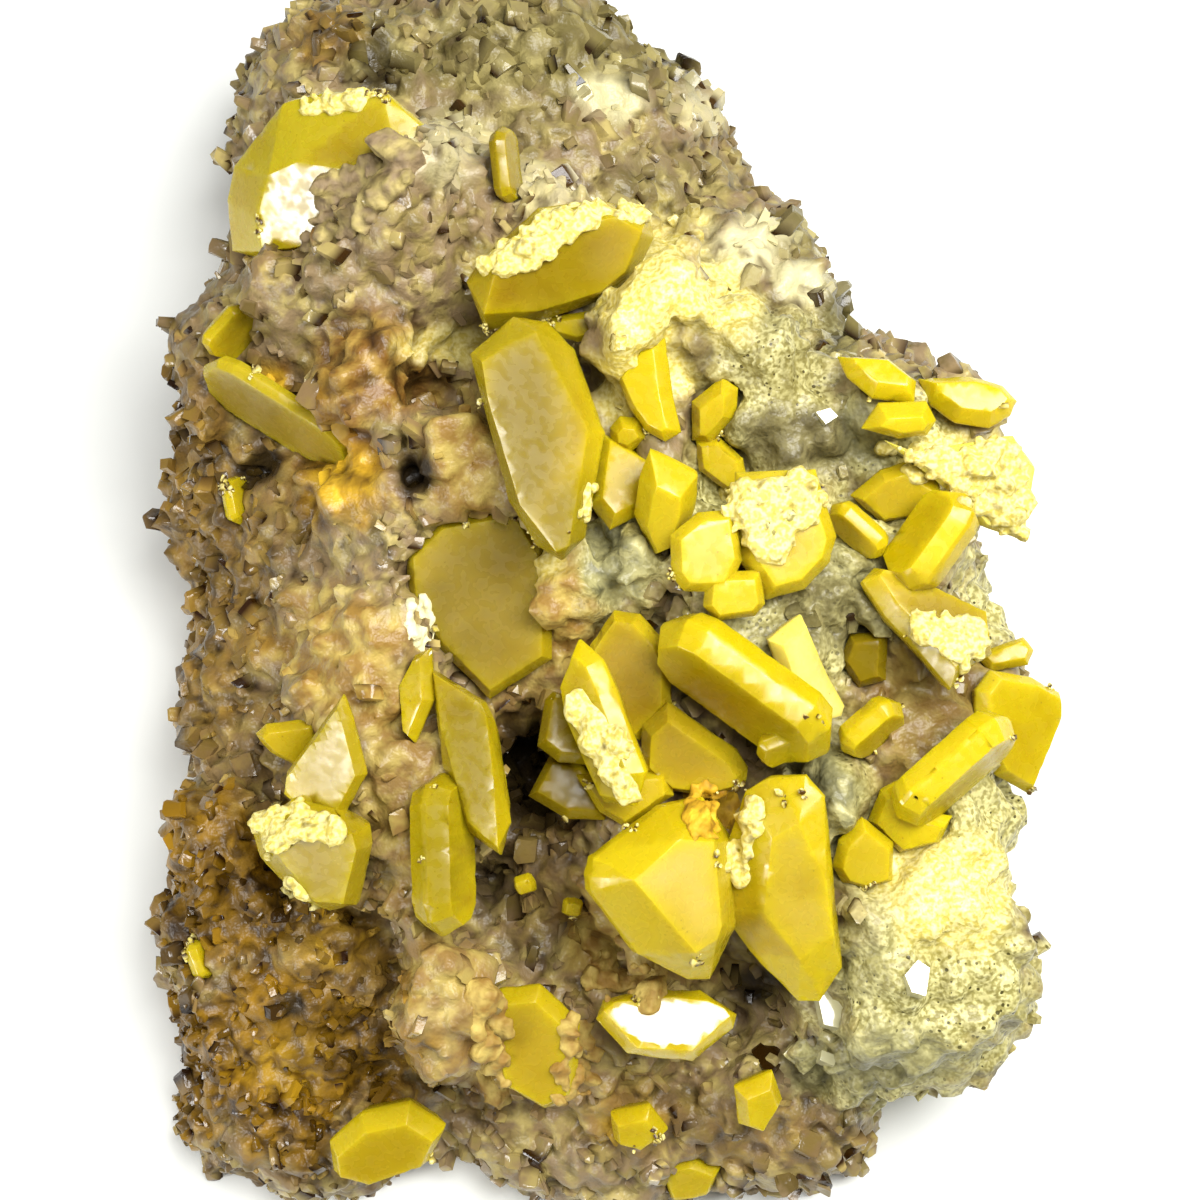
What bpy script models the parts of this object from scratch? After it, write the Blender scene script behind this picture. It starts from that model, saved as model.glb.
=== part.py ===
"""Yellow wulfenite crystals standing on a loose piece of druse-covered rock.

The specimen rests on a flat underside at Z = 0. It is described from its showing side, which carries the
crystals and looks up and a little towards -Y. Places are given on a drawing sheet of 1200 by 1200 units that
lies through the middle of the specimen, origin at its top left, as they show from the eye. Rise is the
height over the sheet towards the eye. All other lengths are in millimetres and angles in degrees.
"""

import math

import bmesh
import bpy
from mathutils import Matrix, Vector, noise

MM = 0.001

# Driving dimensions: the sheet, the eye over it, and how the sheet lies over the underside.
SHEET_MIDDLE = 600.0
SHEET_UNIT = 0.065
EYE_DISTANCE = 130.0
SHEET_HEIGHT = 34.0
SHEET_PLACE = (1.0, -11.0)
SHOWING_LEAN = 15.0

# The gap between a crystal and its socket, the rock's voxel size and the triangles left to it.
FIT_GAP = 0.3
ROCK_GRAIN = 1.3
ROCK_FACES = 3900
BALL_DETAIL = 4
ROOT_DETAIL = 3

# A crystal's edge band, as a share of its thickness, and how upright a face must be to be a broad face.
EDGE_SHARE = 0.12
CAP_UPRIGHT = 0.9

# The mound of rock behind a crystal: its depth, its girth as a share of the crystal's, how far it bites into
# the crystal as a share of the thickness, and how much it follows the crystal's own back.
ROOT_DEPTH = 6.0
ROOT_SHARE = 0.62
ROOT_BITE = 0.1
ROOT_TURN = 0.6

# Rock up to this high over a crystal's face is cleared off it, unless the face is steeper than this cosine.
BARE_REACH = 5.0
BARE_STEEPEST = 0.5
BARE_BITE = 0.1

# Unevenness of the rock: push and wavelength of the swells, the knobs and the small bumps.
SWELL = (1.3, 8.0)
KNOB = (1.7, 4.2)
BUMP = (0.5, 2.1)
KNOB_LEVEL = 0.45

SHOWING_SIDE = Matrix.Translation((*SHEET_PLACE, SHEET_HEIGHT)) @ Matrix.Rotation(
    math.radians(SHOWING_LEAN), 4, "X"
)

YELLOW = (0.72, 0.58, 0.03, 1.0)
AMBER = (0.48, 0.27, 0.02, 1.0)
CREAM = (0.74, 0.66, 0.30, 1.0)
ROCK = (0.36, 0.29, 0.20, 1.0)
CRYSTAL_ROUGHNESS = 0.3
ROCK_ROUGHNESS = 0.9

# The rock is a heap of rounded masses: place on the sheet, rise, then the three radii.
ROCK_MASSES = {
    "heart": (600, 646, -26, 24, 26, 20),
    "crest": (720, 590, -17, 14, 18, 13),
    "hill": (400, 277, -16, 10.5, 9.5, 10),
    "hill_left": (300, 370, -19, 7.5, 7, 9),
    "back": (540, 212, -36, 12.6, 11.8, 16),
    "back_corner": (306, 108, -35, 3.4, 4.4, 12),
    "back_left": (385, 138, -35, 9, 8.5, 15),
    "back_end": (516, 88, -36, 7.8, 7, 15),
    "back_right": (728, 320, -31, 7, 7.5, 14),
    "left_wall": (278, 500, -29, 6.2, 10, 13),
    "left_low": (294, 700, -25, 6.4, 12, 13),
    "left_shoulder": (385, 569, -17, 8, 12, 9),
    "mid_left": (400, 723, -15, 8, 9, 9.5),
    "front_left": (313, 955, -21, 9.4, 12, 11),
    "bottom_left": (324, 1090, -26, 9.2, 6, 12),
    "front_middle": (554, 969, -19, 10, 9, 10),
    "front_low": (640, 1085, -26, 14, 6.5, 13),
    "front_toe": (798, 1096, -22, 5.2, 5.6, 10),
    "front_right": (894, 960, -15, 8.8, 8.3, 13),
    "right": (885, 700, -18, 7.5, 14, 15),
    "right_top": (860, 460, -18, 7.5, 7.5, 14),
}
HOLLOWS = {
    "vug": (526, 772, -9, 3.4, 4.6, 9),
    "vug_low": (490, 880, -10, 2.6, 3.0, 6.5),
    "notch": (412, 474, -10, 2.0, 2.8, 6.5),
    "slot": (752, 980, -7, 2.0, 1.8, 6),
    "left_hole": (262, 470, -16, 2.0, 1.6, 5),
}

# Ledges are slabs of crust that stand out of the rock, some of them over the feet of the crystals. Rise of
# the showing face, depth, lean across and up, then the outline. A slab has three rings: the showing face,
# the outline a little below it and the foot at the full depth. Beside each ring's level stands its girth as
# a share of the outline's.
FACE_RING = (0.0, 0.85)
OUTLINE_RING = (-0.9, 1.0)
FOOT_SHARE = 0.9
LEDGES = {
    "ridge_edge": (-1.6, 7, (0.2, 0.35), [
        (330, 215), (345, 178), (382, 172), (404, 142), (430, 122), (452, 118), (470, 140), (440, 200),
        (400, 250), (345, 250)
    ]),
    "ridge_left": (-5.4, 6, (0.3, 0.2), [
        (236, 262), (262, 252), (303, 248), (318, 228), (345, 250), (340, 300), (290, 330), (240, 300)
    ]),
    "pink_ledge": (-3.6, 5, (0.25, 0.1), [
        (268, 714), (292, 710), (296, 680), (300, 640), (320, 612), (345, 600), (362, 618), (402, 612),
        (410, 640), (408, 700), (380, 735), (352, 742), (330, 735), (300, 742)
    ]),
    "pale_crust": (-2.4, 3, (0.1, 0.1), [
        (352, 572), (380, 552), (405, 560), (412, 600), (432, 640), (425, 655), (400, 650), (380, 600),
        (356, 592)
    ]),
    "tan_crust": (-1.9, 6, (0.2, 0.1), [
        (374, 748), (405, 750), (430, 760), (436, 840), (430, 900), (440, 945), (404, 940), (384, 870),
        (374, 820)
    ]),
    "pale_column": (-2.6, 7, (0.1, 0.25), [
        (402, 950), (440, 940), (470, 952), (468, 1000), (505, 1012), (484, 1060), (440, 1092), (412, 1062),
        (402, 1010)
    ]),
    "pink_lump": (-0.9, 6, (0.2, 0.2), [
        (432, 412), (450, 402), (475, 408), (495, 440), (515, 480), (520, 515), (480, 515), (450, 505),
        (425, 515), (412, 500), (420, 470), (415, 440)
    ]),
    "orange_crust": (-3.0, 5, (0.15, 0.25), [
        (385, 315), (408, 320), (412, 345), (410, 370), (400, 395), (415, 430), (400, 450), (370, 440),
        (350, 420), (318, 420), (300, 405), (320, 385), (350, 360), (365, 335)
    ]),
    "ochre_lump": (-3.6, 5, (0.2, 0.2), [
        (312, 470), (330, 452), (350, 470), (375, 480), (385, 455), (400, 500), (432, 515), (425, 540),
        (400, 560), (372, 545), (345, 545), (315, 505)
    ]),
    "tip_lump": (-1.2, 5, (-0.1, 0.2), [
        (526, 560), (552, 546), (566, 562), (602, 600), (607, 615), (560, 655), (545, 650), (526, 600)
    ]),
    "cream_ridge": (1.2, 6, (0.0, 0.2), [
        (650, 245), (688, 240), (702, 262), (714, 318), (690, 322), (664, 312), (657, 350), (640, 372),
        (618, 380), (600, 372), (588, 360), (600, 332), (615, 318), (618, 300), (630, 275)
    ]),
    "porous_mound": (-0.2, 7, (0.0, 0.3), [
        (706, 335), (735, 298), (790, 310), (818, 325), (822, 350), (800, 380), (835, 410), (850, 440),
        (800, 470), (745, 462), (742, 425), (718, 400), (704, 368)
    ]),
    "grey_lump": (1.6, 6, (0.0, 0.2), [
        (600, 540), (620, 515), (640, 520), (652, 560), (664, 590), (640, 608), (612, 600), (598, 570)
    ]),
    "porous_bridge": (0.4, 6, (0.0, 0.2), [
        (790, 562), (830, 552), (870, 555), (905, 562), (900, 590), (872, 602), (850, 640), (810, 662),
        (790, 628), (760, 640), (708, 640), (704, 620), (742, 612), (790, 600)
    ]),
    "blue_grey_lump": (2.2, 6, (0.0, 0.1), [
        (806, 756), (826, 748), (850, 770), (872, 790), (868, 810), (850, 812), (840, 846), (815, 846),
        (804, 820), (812, 790)
    ]),
    "white_crust": (-0.6, 9, (-0.15, 0.25), [
        (852, 905), (900, 880), (940, 872), (1000, 900), (1040, 958), (1025, 1010), (990, 1045), (930, 1078),
        (870, 1085), (838, 1040), (845, 960)
    ]),
    "right_crust": (-2.0, 7, (-0.25, 0.1), [
        (905, 840), (985, 760), (1018, 800), (1018, 870), (1000, 900), (940, 880)
    ]),
    "left_knob": (-10.0, 9, (0.3, 0.2), [
        (160, 826), (186, 790), (226, 786), (244, 830), (230, 905), (196, 905), (180, 870)
    ]),
}

# Plates show a broad face. Rise of the middle, lean across and up, thickness, width of the rim, then the
# outline of the widest section.
PLATES = {
    "arch_plate": (-6.5, (0.35, 0.5), 4.6, 2.0, [
        (234, 250), (229, 200), (236, 165), (285, 102), (321, 93), (384, 92), (425, 127), (410, 185),
        (330, 246), (262, 258)
    ]),
    "tall_plate": (0.8, (-0.5, -0.25), 3.4, 0.9, [
        (471, 353), (512, 317), (545, 322), (573, 350), (604, 434), (593, 482), (584, 538), (563, 560),
        (538, 545), (510, 500)
    ]),
    "low_plate": (-4.4, (0.05, 0.1), 2.0, 0.6, [
        (406, 553), (440, 520), (520, 505), (552, 560), (552, 659), (490, 699), (438, 647), (409, 597)
    ]),
    "wedge_plate": (-2.5, (-0.25, 0.55), 5.0, 1.1, [
        (467, 283), (480, 262), (539, 209), (602, 201), (648, 212), (653, 236), (635, 275), (606, 297),
        (545, 318), (485, 330)
    ]),
    "under_wedge": (-4.5, (0.1, 0.2), 1.6, 0.4, [
        (540, 318), (608, 308), (604, 335), (578, 342), (555, 336)
    ]),
    "ridge_blade": (-0.5, (0.35, 0.1), 2.0, 0.6, [
        (617, 377), (640, 345), (665, 338), (673, 398), (681, 432), (666, 442), (645, 430), (630, 408)
    ]),
    "ridge_foot": (-1.8, (0.1, 0.3), 2.0, 0.6, [
        (609, 428), (620, 416), (640, 418), (652, 437), (630, 452), (612, 446)
    ]),
    "brown_face": (-4.0, (-0.5, 0.1), 1.8, 0.4, [
        (664, 312), (708, 320), (714, 372), (690, 392), (668, 374)
    ]),
    "dull_block": (-2.0, (0.2, 0.3), 2.6, 0.7, [
        (692, 401), (722, 377), (738, 388), (736, 418), (712, 443), (692, 440)
    ]),
    "dull_plate": (-2.9, (0.1, 0.2), 1.8, 0.4, [
        (695, 440), (719, 437), (743, 458), (748, 480), (728, 492), (699, 470)
    ]),
    "shaded_plate": (-1.5, (-0.2, -0.3), 2.2, 0.6, [
        (600, 432), (655, 464), (645, 512), (610, 530), (590, 505)
    ]),
    "edge_block": (0.8, (0.1, 0.7), 4.2, 1.0, [
        (650, 449), (698, 473), (697, 500), (684, 540), (652, 553), (634, 512), (640, 475)
    ]),
    "twin_upper": (2.6, (-0.05, 0.05), 2.4, 0.6, [
        (670, 535), (698, 512), (735, 509), (742, 560), (728, 591), (684, 592), (671, 575)
    ]),
    "twin_lower": (2.2, (0.0, 0.1), 2.4, 0.5, [
        (706, 572), (760, 570), (765, 604), (755, 616), (716, 621), (703, 606)
    ]),
    "twin_right": (1.6, (-0.1, 0.1), 3.2, 0.9, [
        (735, 472), (815, 469), (823, 497), (836, 536), (829, 563), (804, 589), (765, 600), (738, 560)
    ]),
    "frosted_plate": (-2.2, (0.25, 0.2), 2.0, 0.5, [
        (590, 645), (614, 610), (640, 614), (662, 638), (672, 662), (672, 705), (640, 740), (600, 715)
    ]),
    "crusted_blade": (1.0, (0.8, 0.1), 2.2, 0.6, [
        (580, 639), (602, 659), (616, 690), (630, 730), (646, 772), (636, 806), (606, 802), (584, 753),
        (570, 720), (563, 685)
    ]),
    "bar_apron": (-2.1, (0.1, 0.3), 2.6, 0.7, [
        (668, 702), (737, 750), (748, 768), (745, 786), (715, 795), (670, 790), (640, 765), (642, 725)
    ]),
    "inner_plate": (-3.0, (-0.1, -0.3), 2.0, 0.5, [
        (545, 700), (553, 692), (575, 698), (592, 725), (590, 765), (558, 762), (537, 746)
    ]),
    "inner_foot": (-4.6, (0.0, -0.2), 2.0, 0.5, [
        (550, 755), (585, 765), (606, 800), (606, 820), (567, 819), (528, 796)
    ]),
    "tray_plate": (-2.2, (0.05, 0.1), 2.0, 0.5, [
        (576, 775), (600, 772), (668, 768), (674, 795), (626, 827), (600, 812)
    ]),
    "big_block": (0.0, (-0.5, 0.05), 6.6, 1.7, [
        (586, 876), (591, 857), (659, 806), (700, 796), (731, 840), (733, 925), (707, 978), (685, 978),
        (635, 953), (588, 890)
    ]),
    "big_plate": (-0.8, (0.3, 0.3), 3.0, 1.0, [
        (746, 790), (770, 776), (806, 775), (825, 797), (835, 893), (842, 967), (820, 1000), (799, 1000),
        (755, 956), (717, 905), (730, 836)
    ]),
    "mirror_plate": (-5.5, (0.0, -0.3), 2.6, 0.8, [
        (603, 1000), (640, 990), (700, 990), (737, 1014), (733, 1028), (693, 1061), (659, 1058), (627, 1053),
        (596, 1019)
    ]),
    "corner_plate": (0.0, (0.0, -0.35), 2.4, 0.6, [
        (837, 357), (888, 360), (916, 382), (914, 404), (872, 398), (847, 377)
    ]),
    "corner_block": (1.2, (0.0, 0.35), 2.8, 0.7, [
        (861, 428), (878, 403), (926, 401), (936, 420), (926, 435), (898, 438)
    ]),
    "corner_end": (-0.4, (0.0, -0.2), 2.4, 0.7, [
        (918, 379), (972, 377), (1002, 386), (1017, 402), (1010, 416), (990, 428), (955, 423), (930, 405)
    ]),
    "cream_sheet": (-1.5, (-0.3, 0.25), 1.5, 0.3, [
        (884, 440), (915, 452), (965, 443), (1012, 435), (1034, 466), (1025, 515), (1022, 540),
        (980, 526), (950, 492)
    ]),
    "shelf_plate": (-2.2, (0.05, 0.4), 2.0, 0.5, [
        (850, 495), (880, 470), (905, 462), (945, 486), (926, 515), (881, 522)
    ]),
    "leaning_plate": (0.8, (-0.3, -0.5), 2.6, 0.6, [
        (861, 582), (873, 569), (905, 577), (985, 615), (991, 655), (962, 672), (950, 690), (918, 652),
        (885, 618)
    ]),
    "outer_plate": (-5.0, (-0.5, 0.1), 2.0, 0.5, [
        (975, 690), (990, 670), (1030, 677), (1058, 692), (1058, 718), (1027, 793), (995, 775), (975, 740)
    ]),
    "outer_chip": (-6.0, (0.1, -0.2), 1.6, 0.4, [
        (975, 655), (1000, 645), (1023, 637), (1034, 650), (1028, 665), (990, 672)
    ]),
    "fan_left": (-1.6, (0.1, 0.3), 2.0, 0.5, [
        (868, 820), (880, 790), (905, 776), (918, 810), (952, 816), (940, 842), (900, 852)
    ]),
    "fan_right": (-1.4, (-0.1, 0.2), 2.0, 0.5, [
        (832, 866), (838, 840), (862, 816), (893, 842), (892, 880), (862, 888), (842, 882)
    ]),
    "pale_plate": (0.2, (-0.6, 0.3), 2.0, 0.4, [
        (768, 640), (800, 614), (824, 670), (841, 700), (836, 716), (815, 722), (785, 690)
    ]),
    "amber_plate": (-2.0, (0.2, 0.1), 2.0, 0.5, [
        (840, 660), (850, 634), (888, 630), (886, 680), (858, 688)
    ]),
    "slim_plate": (-0.8, (0.6, 0.05), 2.4, 0.6, [
        (431, 668), (485, 702), (493, 719), (510, 823), (501, 855), (466, 829), (444, 765)
    ]),
    "slim_chip": (-2.0, (0.6, 0.1), 1.6, 0.4, [
        (401, 683), (416, 655), (431, 648), (434, 700), (416, 743), (405, 732)
    ]),
    "kite_plate": (-1.6, (0.45, 0.25), 1.6, 0.4, [
        (344, 694), (353, 718), (367, 774), (343, 819), (312, 815), (285, 792), (288, 771), (317, 730)
    ]),
    "kite_chip": (-4.2, (-0.2, 0.3), 1.6, 0.4, [
        (255, 734), (266, 724), (312, 718), (322, 740), (300, 768), (270, 752)
    ]),
    "left_block": (-2.6, (0.3, 0.3), 4.6, 1.0, [
        (253, 826), (293, 799), (335, 807), (369, 826), (371, 845), (358, 903), (331, 909), (302, 898),
        (262, 856)
    ]),
    "foot_plate": (-6.8, (0.05, 0.3), 2.4, 0.7, [
        (480, 1008), (500, 988), (540, 984), (580, 1020), (577, 1092), (545, 1107), (500, 1082)
    ]),
    "foot_left": (-11.5, (0.0, 0.5), 3.0, 0.7, [
        (330, 1140), (362, 1112), (410, 1102), (446, 1125), (430, 1158), (372, 1178), (334, 1168)
    ]),
    "foot_right": (-8.5, (-0.2, 0.4), 2.4, 0.6, [
        (734, 1086), (772, 1070), (782, 1098), (762, 1130), (738, 1122)
    ]),
    "foot_middle": (-12.0, (0.0, 0.5), 2.2, 0.5, [
        (610, 1112), (650, 1104), (668, 1128), (642, 1146), (614, 1138)
    ]),
    "foot_end": (-17.0, (0.0, 0.5), 2.2, 0.5, [
        (655, 1160), (690, 1152), (722, 1164), (710, 1190), (670, 1196)
    ]),
}

# Broad faces that lie off the middle of their plate, so that one side slopes down in a wide facet.
CAPS = {
    "arch_plate": [(262, 252), (257, 218), (268, 175), (297, 162), (360, 172), (402, 178), (330, 242)],
    "wedge_plate": [
        (495, 272), (511, 281), (582, 226), (616, 217), (642, 232), (625, 272), (600, 292), (540, 311),
        (484, 314)
    ],
    "tall_plate": [
        (505, 345), (536, 332), (588, 430), (580, 470), (569, 546), (556, 552), (520, 505), (488, 400),
        (482, 362)
    ],
    "big_block": [(634, 880), (681, 839), (714, 842), (710, 900), (722, 927), (717, 940), (696, 953)],
    "big_plate": [(772, 838), (800, 822), (826, 880), (834, 935), (800, 960), (764, 912)],
    "slim_plate": [(434, 674), (480, 703), (486, 716), (493, 775), (498, 848), (468, 822), (441, 730)],
    "left_block": [(300, 829), (352, 834), (356, 850), (343, 904), (315, 902), (285, 865), (268, 840)],
    "mirror_plate": [
        (604, 1011), (615, 1002), (672, 997), (708, 1001), (724, 1008), (730, 1016), (709, 1034),
        (692, 1051), (637, 1048)
    ],
}

# The back of such a plate is its outline drawn in by this share, and facets nearer to one plane than this
# angle in radians are one facet.
BACK_SHARE = 0.72
FLAT_ENOUGH = 0.01

# Bars are plates seen from the edge. Place on the sheet and rise, length, width and thickness, then turn of
# the length on the sheet, its pitch towards the eye and the roll about it.
BARS = {
    "long_bar": (745, 688, 1.6, 13.4, 6.5, 3.1, -36, 4, 62),
    "bar_end": (779, 747, 1.8, 3.0, 2.6, 1.3, 20, 0, 50),
    "ochre_rod": (443, 854, -0.8, 10.6, 4.4, 3.0, 92, -6, 62),
    "short_rod": (871, 727, -0.4, 4.9, 3.6, 1.8, 42, 8, 60),
    "right_blade": (953, 768, 0.4, 9.6, 5.5, 2.6, 43, 6, 66),
    "cream_rod": (931, 540, 0.8, 7.4, 4.6, 2.6, 55, 6, -60),
    "green_rod": (858, 530, -0.4, 4.7, 2.6, 1.4, -42, 0, 60),
    "left_blade": (280, 415, -10.0, 12.5, 7.0, 1.2, -32, 0, 68),
    "spike": (506, 165, -6.2, 5.2, 3.0, 1.2, 96, 10, 70),
    "edge_chips": (232, 332, -9.5, 4.4, 3.4, 1.2, 45, 10, 55),
    "low_left_chip": (238, 500, -15.0, 3.6, 2.6, 1.0, 100, 0, 60),
    "bottom_left_chip": (203, 958, -13.0, 3.0, 2.4, 1.2, 110, 0, 60),
    "vug_cube": (525, 884, -7.0, 1.6, 1.4, 1.2, 20, 10, 10),
    "vug_cube_low": (572, 907, -6.5, 1.4, 1.4, 1.2, 80, 10, 10),
}

# A bar's outline in half lengths and half widths, and its rim as a share of half the thickness.
BAR_SHAPE = [
    (-1.0, 0.1), (-0.82, 0.8), (-0.6, 1.0), (0.62, 1.0), (0.86, 0.72), (1.0, -0.1), (0.8, -0.85),
    (0.55, -1.0), (-0.65, -1.0), (-0.9, -0.6)
]
BAR_RIM = 0.42

# Crystals that grew through each other are one solid, under the name of the first.
GROWN_TOGETHER = [
    ("twin_right", "twin_upper", "twin_lower"),
    ("bar_apron", "frosted_plate", "tray_plate"),
    ("long_bar", "bar_end"),
    ("big_block", "big_plate"),
    ("leaning_plate", "cream_rod"),
    ("right_blade", "fan_left"),
    ("left_block", "kite_plate"),
    ("slim_plate", "ochre_rod", "slim_chip"),
    ("shaded_plate", "ridge_foot"),
    ("dull_block", "dull_plate"),
]

# Crystals that aren't lemon yellow.
TINTS = {
    "amber_plate": AMBER,
    "brown_face": AMBER,
    "inner_foot": AMBER,
    "cream_sheet": CREAM,
    "pale_plate": CREAM,
}


def true_place(across, up, rise):
    """The sheet-frame point that shows at this place of the sheet and lies at this rise."""
    nearness = (EYE_DISTANCE - rise) / EYE_DISTANCE
    return Vector((across * nearness, up * nearness, rise))


def on_sheet(u, v):
    return (u - SHEET_MIDDLE) * SHEET_UNIT, (SHEET_MIDDLE - v) * SHEET_UNIT


def mesh_object(name, body, collection):
    """Takes a bmesh in millimetres and makes it an object in metres."""
    bmesh.ops.scale(body, vec=(MM, MM, MM), verts=body.verts)
    mesh = bpy.data.meshes.new(name)
    body.to_mesh(mesh)
    body.free()
    obj = bpy.data.objects.new(name, mesh)
    collection.objects.link(obj)
    return obj


def bake_modifiers(obj):
    """Replaces the object's mesh by what its modifiers make of it."""
    bpy.context.view_layer.update()
    graph = bpy.context.evaluated_depsgraph_get()
    baked = bpy.data.meshes.new_from_object(obj.evaluated_get(graph))
    obj.modifiers.clear()
    obj.data = baked


def material(name, colour, roughness):
    made = bpy.data.materials.new(name)
    made.use_nodes = True
    shader = made.node_tree.nodes["Principled BSDF"]
    shader.inputs["Base Color"].default_value = colour
    shader.inputs["Roughness"].default_value = roughness
    made.diffuse_color = colour
    return made


def rimmed_shape(body, outline, thickness, rim):
    """A narrow edge band round the outline and a sloping rim up to each broad face."""
    face = body.faces.new([body.verts.new((x, y, 0.0)) for x, y in outline])
    band = thickness * EDGE_SHARE
    raised = bmesh.ops.extrude_face_region(body, geom=[face])["geom"]
    corners = [item for item in raised if isinstance(item, bmesh.types.BMVert)]
    bmesh.ops.translate(body, vec=(0.0, 0.0, band), verts=corners)
    bmesh.ops.translate(body, vec=(0.0, 0.0, -band / 2), verts=body.verts)
    bmesh.ops.recalc_face_normals(body, faces=body.faces)
    for cap in [item for item in body.faces if abs(item.normal.z) > CAP_UPRIGHT]:
        bmesh.ops.inset_individual(
            body, faces=[cap], thickness=rim, depth=(thickness - band) / 2, use_even_offset=True
        )


def capped_shape(body, outline, thickness, cap):
    """The tightest faceted shape round the outline's edge band, the given broad face and a plain back."""
    band = thickness * EDGE_SHARE
    middle = [sum(place[axis] for place in outline) / len(outline) for axis in (0, 1)]
    for x, y in outline:
        body.verts.new((x, y, band / 2))
        body.verts.new((x, y, -band / 2))
        back = (middle[0] + (x - middle[0]) * BACK_SHARE, middle[1] + (y - middle[1]) * BACK_SHARE)
        body.verts.new((*back, -thickness / 2))
    for x, y in cap:
        body.verts.new((x, y, thickness / 2))
    hull = bmesh.ops.convex_hull(body, input=body.verts)
    inner = [item for item in hull["geom_interior"] if isinstance(item, bmesh.types.BMVert)]
    bmesh.ops.delete(body, geom=inner, context="VERTS")
    bmesh.ops.dissolve_limit(body, angle_limit=FLAT_ENOUGH, verts=body.verts, edges=body.edges)


def crystal_body(outline, thickness, rim, lie, cap=None, grow=0.0):
    """A flat crystal, laid in its place."""
    body = bmesh.new()
    if cap:
        capped_shape(body, outline, thickness, cap)
    else:
        rimmed_shape(body, outline, thickness, rim)
    bmesh.ops.transform(body, matrix=lie, verts=body.verts)
    bmesh.ops.recalc_face_normals(body, faces=body.faces)
    if grow:
        body.normal_update()
        shifts = [corner.normal * (grow * corner.calc_shell_factor()) for corner in body.verts]
        for corner, shift in zip(body.verts, shifts):
            corner.co += shift
    return body


def plate_shape(name):
    """The flat outline, thickness and rim of a plate, and the matrix that lays it in its place."""
    rise, lean, thickness, rim, outline = PLATES[name]
    places = [on_sheet(u, v) for u, v in outline]
    middle_across = sum(place[0] for place in places) / len(places)
    middle_up = sum(place[1] for place in places) / len(places)
    middle = true_place(middle_across, middle_up, rise)
    lean_across, lean_up = lean
    along = Vector((1.0, 0.0, lean_across)).normalized()
    normal = Vector((-lean_across, -lean_up, 1.0)).normalized()
    aside = normal.cross(along).normalized()
    along = aside.cross(normal)

    def flat_places(places, height):
        """Places along and aside on the plane at this height over the plate's middle."""
        through = middle + normal * height
        flat = []
        for across, up in places:
            reach = EYE_DISTANCE - through.z + lean_across * through.x + lean_up * through.y
            reach /= EYE_DISTANCE + lean_across * across + lean_up * up
            point = Vector((across * reach, up * reach, EYE_DISTANCE * (1.0 - reach))) - middle
            flat.append((point.dot(along), point.dot(aside)))
        return flat

    turn = Matrix((along, aside, normal)).transposed().to_4x4()
    cap = flat_places([on_sheet(u, v) for u, v in CAPS.get(name, [])], thickness / 2)
    lie = SHOWING_SIDE @ Matrix.Translation(middle) @ turn
    return flat_places(places, 0.0), thickness, rim, lie, cap


def bar_shape(name):
    """The same for a bar."""
    u, v, rise, length, width, thickness, turn, pitch, roll = BARS[name]
    outline = [(x * length / 2, y * width / 2) for x, y in BAR_SHAPE]
    lie = (
        Matrix.Translation(true_place(*on_sheet(u, v), rise))
        @ Matrix.Rotation(math.radians(turn), 4, "Z")
        @ Matrix.Rotation(math.radians(-pitch), 4, "Y")
        @ Matrix.Rotation(math.radians(roll), 4, "X")
    )
    return outline, thickness, BAR_RIM * thickness / 2, SHOWING_SIDE @ lie, []


def crystal_shapes():
    return {name: plate_shape(name) for name in PLATES} | {name: bar_shape(name) for name in BARS}


def crystal_objects(shapes, collection, cutters):
    """Every crystal as its own solid, and beside it the wider one that cuts its socket in the rock."""
    made = {}
    for name, shape in shapes.items():
        made[name] = mesh_object(name, crystal_body(*shape), collection)
        cutter = mesh_object("socket_" + name, crystal_body(*shape, grow=FIT_GAP), cutters)
        cutter.hide_render = True
        cutter.display_type = "WIRE"
    for group in GROWN_TOGETHER:
        first = made[group[0]]
        for name in group[1:]:
            join = first.modifiers.new(name, "BOOLEAN")
            join.operation = "UNION"
            join.solver = "EXACT"
            join.object = made[name]
        bake_modifiers(first)
        for name in group[1:]:
            bpy.data.objects.remove(made.pop(name))
    return made


def lump_body(lumps):
    """Ball-like masses of the heap, or of its hollows, as one bmesh of separate balls."""
    body = bmesh.new()
    for u, v, rise, *radii in lumps.values():
        nearness = (EYE_DISTANCE - rise) / EYE_DISTANCE
        lie = (
            SHOWING_SIDE
            @ Matrix.Translation(true_place(*on_sheet(u, v), rise))
            @ Matrix.Diagonal((radii[0] * nearness, radii[1] * nearness, radii[2], 1.0))
        )
        bmesh.ops.create_icosphere(body, subdivisions=BALL_DETAIL, radius=1.0, matrix=lie)
    return body


def add_roots(body, shapes):
    """A mound of rock behind every crystal, so that each one stands on something."""
    away = (SHOWING_SIDE.to_3x3() @ Vector((0.0, 0.0, -1.0))).normalized()
    for outline, thickness, _, lie, _ in shapes.values():
        spread = [max(abs(point[axis]) for point in outline) for axis in (0, 1)]
        inwards = (away - lie.to_3x3() @ Vector((0.0, 0.0, 1.0)) * ROOT_TURN).normalized()
        middle = lie.translation + inwards * (ROOT_DEPTH - ROOT_BITE * thickness)
        along = (lie.to_3x3() @ Vector((1.0, 0.0, 0.0))).normalized()
        aside = inwards.cross(along).normalized()
        along = aside.cross(inwards)
        turn = Matrix((along, aside, inwards)).transposed().to_4x4()
        girth = max(ROOT_SHARE * spread[1], thickness)
        size = Matrix.Diagonal((ROOT_SHARE * spread[0], girth, ROOT_DEPTH, 1.0))
        root = Matrix.Translation(middle) @ turn @ size
        bmesh.ops.create_icosphere(body, subdivisions=ROOT_DETAIL, radius=1.0, matrix=root)


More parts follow.
